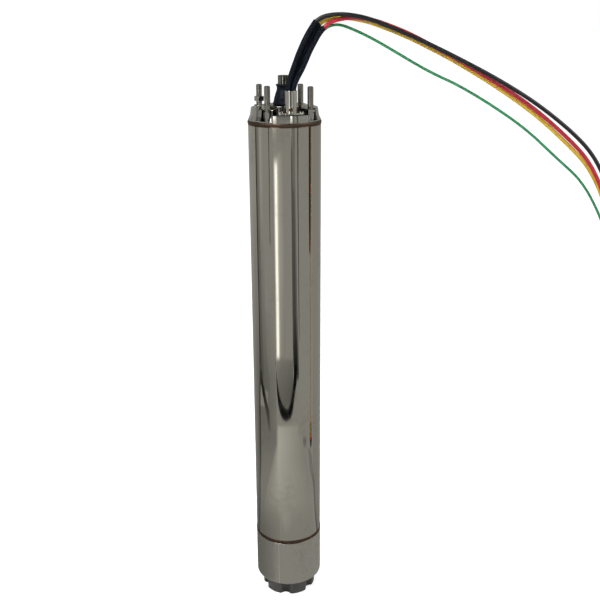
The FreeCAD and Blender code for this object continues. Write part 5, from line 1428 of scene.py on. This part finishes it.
rubber_corners = [
    (0.0, DISC_TOP + HAIR), (23.5, DISC_TOP + HAIR, 1.0), (38.0, RIM_BOTTOM, 1.0), (44.3, RIM_BOTTOM, 0.2),
    (44.3, RIM_TOP, 0.2), (36.5, RIM_TOP, 1.0), (22.0, DISC_TOP + FILM, 1.0), (0.0, DISC_TOP + FILM),
]
rubber = turned_piece("rubber_diaphragm", rubber_corners, "black_rubber", "diaphragm", segments=96, body=None)
bend(rubber)

# The spring's turns are closer together at both ends.
low = COVER_FLOOR + WIRE
high = DISC_BOTTOM - WIRE - HAIR
last = WIRE_STEPS * SPRING_TURNS
wire_points = []
for step in range(last + 1):
    share = step / last
    middle = low + (high - low) * (share + share * share * (3.0 - 2.0 * share)) / 2
    angle = 2 * math.pi * step / WIRE_STEPS
    for away, height in circle(WIRE, (SPRING_RADIUS, middle), WIRE_SIDES):
        wire_points.append((away * math.cos(angle), away * math.sin(angle), height))
wire_faces = band_faces(last + 1, WIRE_SIDES) + end_faces(wire_points, WIRE_SIDES)
wire = joined((wire_points, wire_faces))
spring = show("plate_spring", wire, "bright_steel", "diaphragm_spring", body=None)
bend(spring)

# %% [markdown]
# ## Light, floor and what the steel mirrors
#
# A polished can shows the room more than itself. Looked at from slightly above, it mirrors the
# floor round it, stretched upright: a strip of floor that runs away from the motor becomes an
# upright band on the can. So the studio has a white floor for the eye, and just above it grey,
# dark and pale cards that only reflections see, laid where the bands should come.

# %% Floor and world
def emptied(owner):
    """The nodes of a material or world, with none of its own left."""
    owner.use_nodes = True
    owner.node_tree.nodes.clear()
    return owner.node_tree


def seen_or_mirrored(tree):
    """1 for rays from the camera and for those that glossy or clear things send on."""
    path = add_node(tree, "LightPath").outputs
    either = do_math(tree, "MAXIMUM", path["Is Camera Ray"], path["Is Glossy Ray"])
    return do_math(tree, "MAXIMUM", either, path["Is Transmission Ray"])


FLOOR_HALF = 40.0
FLOOR_HEIGHT = -0.0005

floor_material = bpy.data.materials.new("floor_white")
tree = emptied(floor_material)
paint = add_node(tree, "BsdfDiffuse", {"Color": (0.80, 0.80, 0.80, 1.0)})
glow = add_node(tree, "Emission", {"Strength": do_math(tree, "MULTIPLY", seen_or_mirrored(tree), 0.60)})
both = add_node(tree, "AddShader", {0: paint.outputs[0], 1: glow.outputs[0]})
add_node(tree, "OutputMaterial", {"Surface": both.outputs[0]})
floor_corners = []
for x, y in ((-1, -1), (1, -1), (1, 1), (-1, 1)):
    floor_corners.append((x * FLOOR_HALF, y * FLOOR_HALF, FLOOR_HEIGHT))
floor = put_in_scene("floor", mesh_of(floor_corners, [(0, 1, 2, 3)]))
floor.data.materials.append(floor_material)

world = bpy.data.worlds.new("white_room")
bpy.context.scene.world = world
tree = emptied(world)
lit = add_node(tree, "Background", {"Color": (0.96, 0.98, 1.0, 1.0), "Strength": 0.62})
shown = add_node(tree, "Background", {"Color": (1.0, 1.0, 1.0, 1.0)})
choose = add_node(tree, "MixShader", {0: seen_or_mirrored(tree), 1: lit.outputs[0], 2: shown.outputs[0]})
add_node(tree, "OutputWorld", {"Surface": choose.outputs[0]})
print("floor and world ready")

# %% [markdown]
# Each card is planned on the can and laid where the can mirrors it. `mirrored_spot` follows one
# ray: from the camera to a place on the can, then on to the floor, or to the wall of a wide room
# if the ray doesn't come down before it. So a card's rows can be written as the can shows them:
# a height in millimetres, a left and a right end between -1 and 1, and how bright the steel looks
# there, from 0 to 255. The brightness is kept at every point of the mesh, and the cards' one
# material reads it.

# %% Cards that only reflections see
FACING = math.atan2(camera_place.y, camera_place.x)
ROOM = 25.0
STEEL = 0.585
ROW_STEP = 25.0
COLUMN_STEP = 0.04


def mirrored_spot(across, height, lift):
    """Where the ray that the camera sends to a place on the can ends up."""
    lean = FACING + math.asin(across)
    outward = Vector((math.cos(lean), math.sin(lean), 0.0))
    place = outward * (CAN_RADIUS * MM) + Vector((0.0, 0.0, height * MM))
    inward = (place - camera_place).normalized()
    onward = inward - outward * (2 * inward.dot(outward))
    to_wall = (ROOM - lift * 20.0) / math.hypot(onward.x, onward.y)
    if onward.z < 0.0:
        to_wall = min(to_wall, (place.z - lift) / -onward.z)
    return place + onward * to_wall


def glow_for(shown):
    """The brightness a card needs for the steel to look as bright as wanted."""
    return (shown / 255.0) ** 2.2 / STEEL


glow_material = bpy.data.materials.new("mirrored_tones")
tree = emptied(glow_material)
light = add_node(tree, "Emission", {"Color": (1.0, 0.985, 0.93, 1.0), "Strength": kept_number(tree, "glow")})
add_node(tree, "OutputMaterial", {"Surface": light.outputs[0]})


def mirrored_card(name, points, faces, tones):
    """A card that shows in reflections, and nowhere else."""
    mesh = mesh_of(points, faces)
    mesh.materials.append(glow_material)
    glow = mesh.attributes.new("glow", "FLOAT", "POINT")
    for index, tone in enumerate(tones):
        glow.data[index].value = glow_for(tone)
    card = put_in_scene(name, mesh)
    card.visible_camera = False
    card.visible_diffuse = False
    card.visible_shadow = False
    card.visible_transmission = False


def ribbon(name, rows, lift):
    """A card between a left and a right end that change with the height, and shade from one to the other."""
    fine = []
    for first, last in zip(rows, rows[1:]):
        steps = max(1, int(abs(last[0] - first[0]) / ROW_STEP))
        for step in range(steps):
            fine.append(tuple(a + (b - a) * step / steps for a, b in zip(first, last)))
    fine.append(rows[-1])
    columns = 1 + int(max(row[2] - row[1] for row in rows) / COLUMN_STEP)
    points = []
    tones = []
    for height, left, right, shown, *other in fine:
        last_shown = other[0] if other else shown
        for column in range(columns + 1):
            share = column / columns
            points.append(mirrored_spot(left + (right - left) * share, height, lift))
            tones.append(shown + (last_shown - shown) * share)
    mirrored_card(name, points, band_faces(len(fine), columns + 1, wrap=False), tones)


# %% The room itself: a grey floor, a grey wall and a darker ceiling
ROOM_SEGMENTS = 64
room_rows = [
    (0.0, 0.0, 123.0), (ROOM, 0.0, 123.0), (ROOM, 6.0, 108.0), (ROOM, 11.0, 84.0), (ROOM, 18.0, 40.0),
    (14.0, 30.0, 24.0), (0.0, 34.0, 24.0),
]
points, faces = spun([(radius, height) for radius, height, shown in room_rows], False, ROOM_SEGMENTS)
tones = []
for radius, height, shown in room_rows:
    tones += [shown] * (ROOM_SEGMENTS if radius else 1)
mirrored_card("mirrored_room", points, faces, tones)

# %% The bands, from the left edge of the can to its right edge
BANDS = {
    "left_low": [
        (300, -0.80, -0.50, 92, 100), (273, -0.80, -0.33, 96, 103), (250, -0.80, -0.33, 101, 104),
        (226, -0.81, -0.42, 106, 112), (203, -0.82, -0.52, 109, 114), (180, -0.83, -0.62, 112, 113),
        (156, -0.85, -0.70, 108, 112), (133, -0.88, -0.72, 101, 106), (110, -0.92, -0.78, 92, 95),
        (92, -0.94, -0.80, 90, 92),
    ],
    "left_middle": [
        (440, -0.60, -0.34, 114, 126), (372, -0.60, -0.33, 107, 116), (345, -0.58, -0.32, 100, 108),
        (300, -0.56, -0.31, 96, 108), (270, -0.50, -0.31, 98, 112),
    ],
    "pale_left": [
        (276, -0.29, -0.26, 144, 152), (250, -0.33, -0.26, 118, 160), (226, -0.43, -0.26, 122, 160),
        (203, -0.54, -0.26, 122, 154), (180, -0.64, -0.26, 122, 152), (156, -0.72, -0.26, 118, 143),
        (133, -0.74, -0.26, 107, 122), (110, -0.80, -0.26, 95, 117), (92, -0.84, -0.26, 92, 114),
    ],
    "pale_middle": [
        (276, -0.26, 0.30, 155, 132), (250, -0.26, 0.42, 158, 124), (226, -0.26, 0.54, 154, 118),
        (203, -0.26, 0.62, 151, 120), (180, -0.26, 0.66, 149, 122), (156, -0.26, 0.70, 141, 122),
        (133, -0.26, 0.74, 128, 119), (110, -0.26, 0.80, 121, 119), (92, -0.26, 0.84, 120, 117),
    ],
    "pale_low": [(148, -0.16, 0.08, 134, 131), (133, -0.18, 0.08, 136, 130), (110, -0.12, 0.04, 126, 122)],
    "right_mark": [(258, 0.45, 0.56, 112), (250, 0.46, 0.56, 92), (240, 0.48, 0.56, 114)],
    "left_side": [
        (1900, -0.99, -0.82, 100), (780, -0.99, -0.81, 128), (560, -0.99, -0.80, 130, 122),
        (430, -0.99, -0.80, 122, 108), (340, -0.99, -0.80, 118, 90), (250, -0.99, -0.83, 114, 86),
        (180, -0.99, -0.86, 110, 88), (133, -0.99, -0.90, 98, 80), (92, -0.995, -0.93, 88, 76),
    ],
    "left_rise": [
        (1900, -0.70, -0.60, 112), (780, -0.70, -0.60, 130, 132), (600, -0.70, -0.60, 128, 128),
        (480, -0.69, -0.60, 110, 118), (390, -0.69, -0.58, 97, 104), (325, -0.68, -0.50, 88, 92),
    ],
    "left_peak": [(780, -0.68, -0.64, 141), (600, -0.68, -0.64, 136), (520, -0.68, -0.64, 120)],
    "left_soft_dark": [
        (1900, -0.79, -0.70, 84, 100), (780, -0.785, -0.70, 86, 118), (600, -0.785, -0.70, 84, 114),
        (450, -0.79, -0.69, 76, 100), (360, -0.80, -0.68, 66, 84), (330, -0.80, -0.69, 58, 70),
    ],
    "left_line": [(1200, -0.79, -0.768, 44), (360, -0.79, -0.765, 44)],
    "left_line_low": [
        (345, -0.80, -0.77, 52), (320, -0.82, -0.785, 54), (296, -0.835, -0.795, 56),
        (250, -0.84, -0.80, 60), (226, -0.845, -0.805, 64), (203, -0.855, -0.815, 74),
        (180, -0.875, -0.835, 82), (156, -0.89, -0.85, 80), (133, -0.915, -0.87, 72),
        (92, -0.96, -0.90, 70),
    ],
    "left_hook": [
        (352, -0.80, -0.73, 50), (343, -0.79, -0.72, 50), (330, -0.76, -0.68, 32), (320, -0.73, -0.645, 24),
        (308, -0.69, -0.59, 42), (296, -0.64, -0.53, 60), (282, -0.60, -0.52, 72), (265, -0.56, -0.50, 90),
    ],
    "thin_line": [(705, -0.435, -0.415, 58), (528, -0.44, -0.42, 62)],
    "strip_halo": [(636, -0.305, -0.18, 178), (372, -0.305, -0.185, 174)],
    "strip": [(630, -0.277, -0.212, 255), (376, -0.28, -0.216, 250)],
    "strip_fade": [
        (644, -0.18, -0.04, 148, 122), (500, -0.18, -0.02, 148, 122), (378, -0.185, -0.04, 134, 116),
    ],
    "under_strip": [
        (374, -0.29, 0.17, 114, 98), (345, -0.28, 0.17, 103, 90), (320, -0.24, 0.16, 97, 80),
        (305, -0.18, 0.12, 97, 86),
    ],
    "middle_dark": [
        (1900, 0.18, 0.30, 84), (780, 0.17, 0.26, 108), (640, 0.165, 0.27, 94, 102),
        (530, 0.165, 0.29, 86, 96), (434, 0.165, 0.31, 78, 90), (390, 0.17, 0.33, 60, 84),
        (352, 0.19, 0.34, 36, 70), (344, 0.20, 0.33, 34, 66),
    ],
    "middle_darker": [
        (600, 0.205, 0.245, 78), (434, 0.20, 0.265, 62), (390, 0.20, 0.29, 42), (352, 0.21, 0.30, 20),
    ],
    "middle_line": [(650, 0.178, 0.192, 60), (430, 0.178, 0.195, 64)],
    "middle_line_right": [
        (1200, 0.332, 0.358, 42), (660, 0.332, 0.358, 44), (440, 0.343, 0.363, 60), (400, 0.35, 0.365, 84),
    ],
    "right_line": [
        (1500, 0.635, 0.70, 30), (680, 0.64, 0.705, 24, 60), (560, 0.64, 0.705, 26, 72),
        (516, 0.65, 0.695, 34, 80),
    ],
    "right_side": [
        (1900, 0.745, 0.99, 96), (780, 0.745, 0.99, 118), (430, 0.745, 0.99, 118, 116),
        (200, 0.76, 0.99, 114), (150, 0.84, 0.99, 111), (92, 0.90, 0.995, 102),
    ],
    "right_line_low": [
        (238, 0.60, 0.66, 112), (226, 0.63, 0.71, 104), (203, 0.66, 0.76, 109), (190, 0.72, 0.78, 100),
        (180, 0.765, 0.80, 88), (156, 0.785, 0.83, 94), (133, 0.81, 0.85, 88), (110, 0.845, 0.895, 84),
        (92, 0.875, 0.92, 82),
    ],
    "sleeve_left": [(91, -0.995, -0.45, 84, 112), (20, -0.995, -0.45, 84, 112)],
    "high_far_left": [(762, -0.83, -0.70, 128), (700, -0.83, -0.70, 132), (684, -0.81, -0.72, 190)],
    "high_left": [(762, -0.52, -0.33, 106), (684, -0.52, -0.33, 112)],
    "high_left_bright": [
        (762, -0.33, -0.22, 210), (702, -0.33, -0.22, 225), (692, -0.325, -0.215, 345, 245),
        (684, -0.325, -0.215, 370, 255),
    ],
    "high_middle": [
        (762, -0.22, 0.15, 74), (702, -0.22, 0.15, 78), (692, -0.215, 0.15, 92), (684, -0.215, 0.15, 94),
    ],
    "high_middle_bright": [
        (762, 0.15, 0.23, 185), (702, 0.15, 0.21, 200), (692, 0.155, 0.205, 285), (684, 0.155, 0.205, 310),
    ],
    "high_right_dark": [(762, 0.28, 0.43, 88), (684, 0.31, 0.35, 74)],
    "high_right_bright": [(762, 0.63, 0.74, 180), (684, 0.67, 0.725, 175)],
}
for order, (name, rows) in enumerate(BANDS.items(), start=1):
    ribbon(name, rows, 0.0002 * order)
print("bands:", len(BANDS))

# %% [markdown]
# One reflection isn't upright: a dark bow, like a wide U, that hangs across the can's middle. It
# is laid as a row of short cards along its curve.

# %% The dark bow
BOW = [
    (-0.325, 374, 3), (-0.315, 362, 6), (-0.305, 347, 9), (-0.29, 334, 12), (-0.26, 320, 13),
    (-0.20, 305, 12), (-0.14, 298, 11), (-0.06, 294, 10), (0.02, 294, 9), (0.08, 298, 11),
    (0.14, 310, 15), (0.18, 327, 18), (0.22, 343, 19), (0.27, 354, 14),
]
BOW_LIFT = 0.006
BOW_TONE = 14.0
points = []
for across, height, half in BOW:
    points.append(mirrored_spot(across, height + half, BOW_LIFT))
    points.append(mirrored_spot(across, height - half, BOW_LIFT))
mirrored_card("bow", points, band_faces(len(BOW), 2, wrap=False), [BOW_TONE] * len(points))
print("bow laid")

# %% Lamps
def soft_lamp(name, place, target, size, power):
    """A square lamp aimed at a point."""
    light = bpy.data.lights.new(name, "AREA")
    light.shape = "SQUARE"
    light.size = size
    light.energy = power
    lamp = put_in_scene(name, light)
    lamp.location = place
    lamp.rotation_euler = (Vector(target) - Vector(place)).to_track_quat("-Z", "Y").to_euler()


soft_lamp("lamp_key", (-1.6, -1.4, 2.4), (0.0, 0.0, 0.5), 1.2, 42.0)
soft_lamp("lamp_fill", (1.9, -1.1, 1.8), (0.1, 0.0, 0.4), 1.4, 22.0)
print("lamps ready")
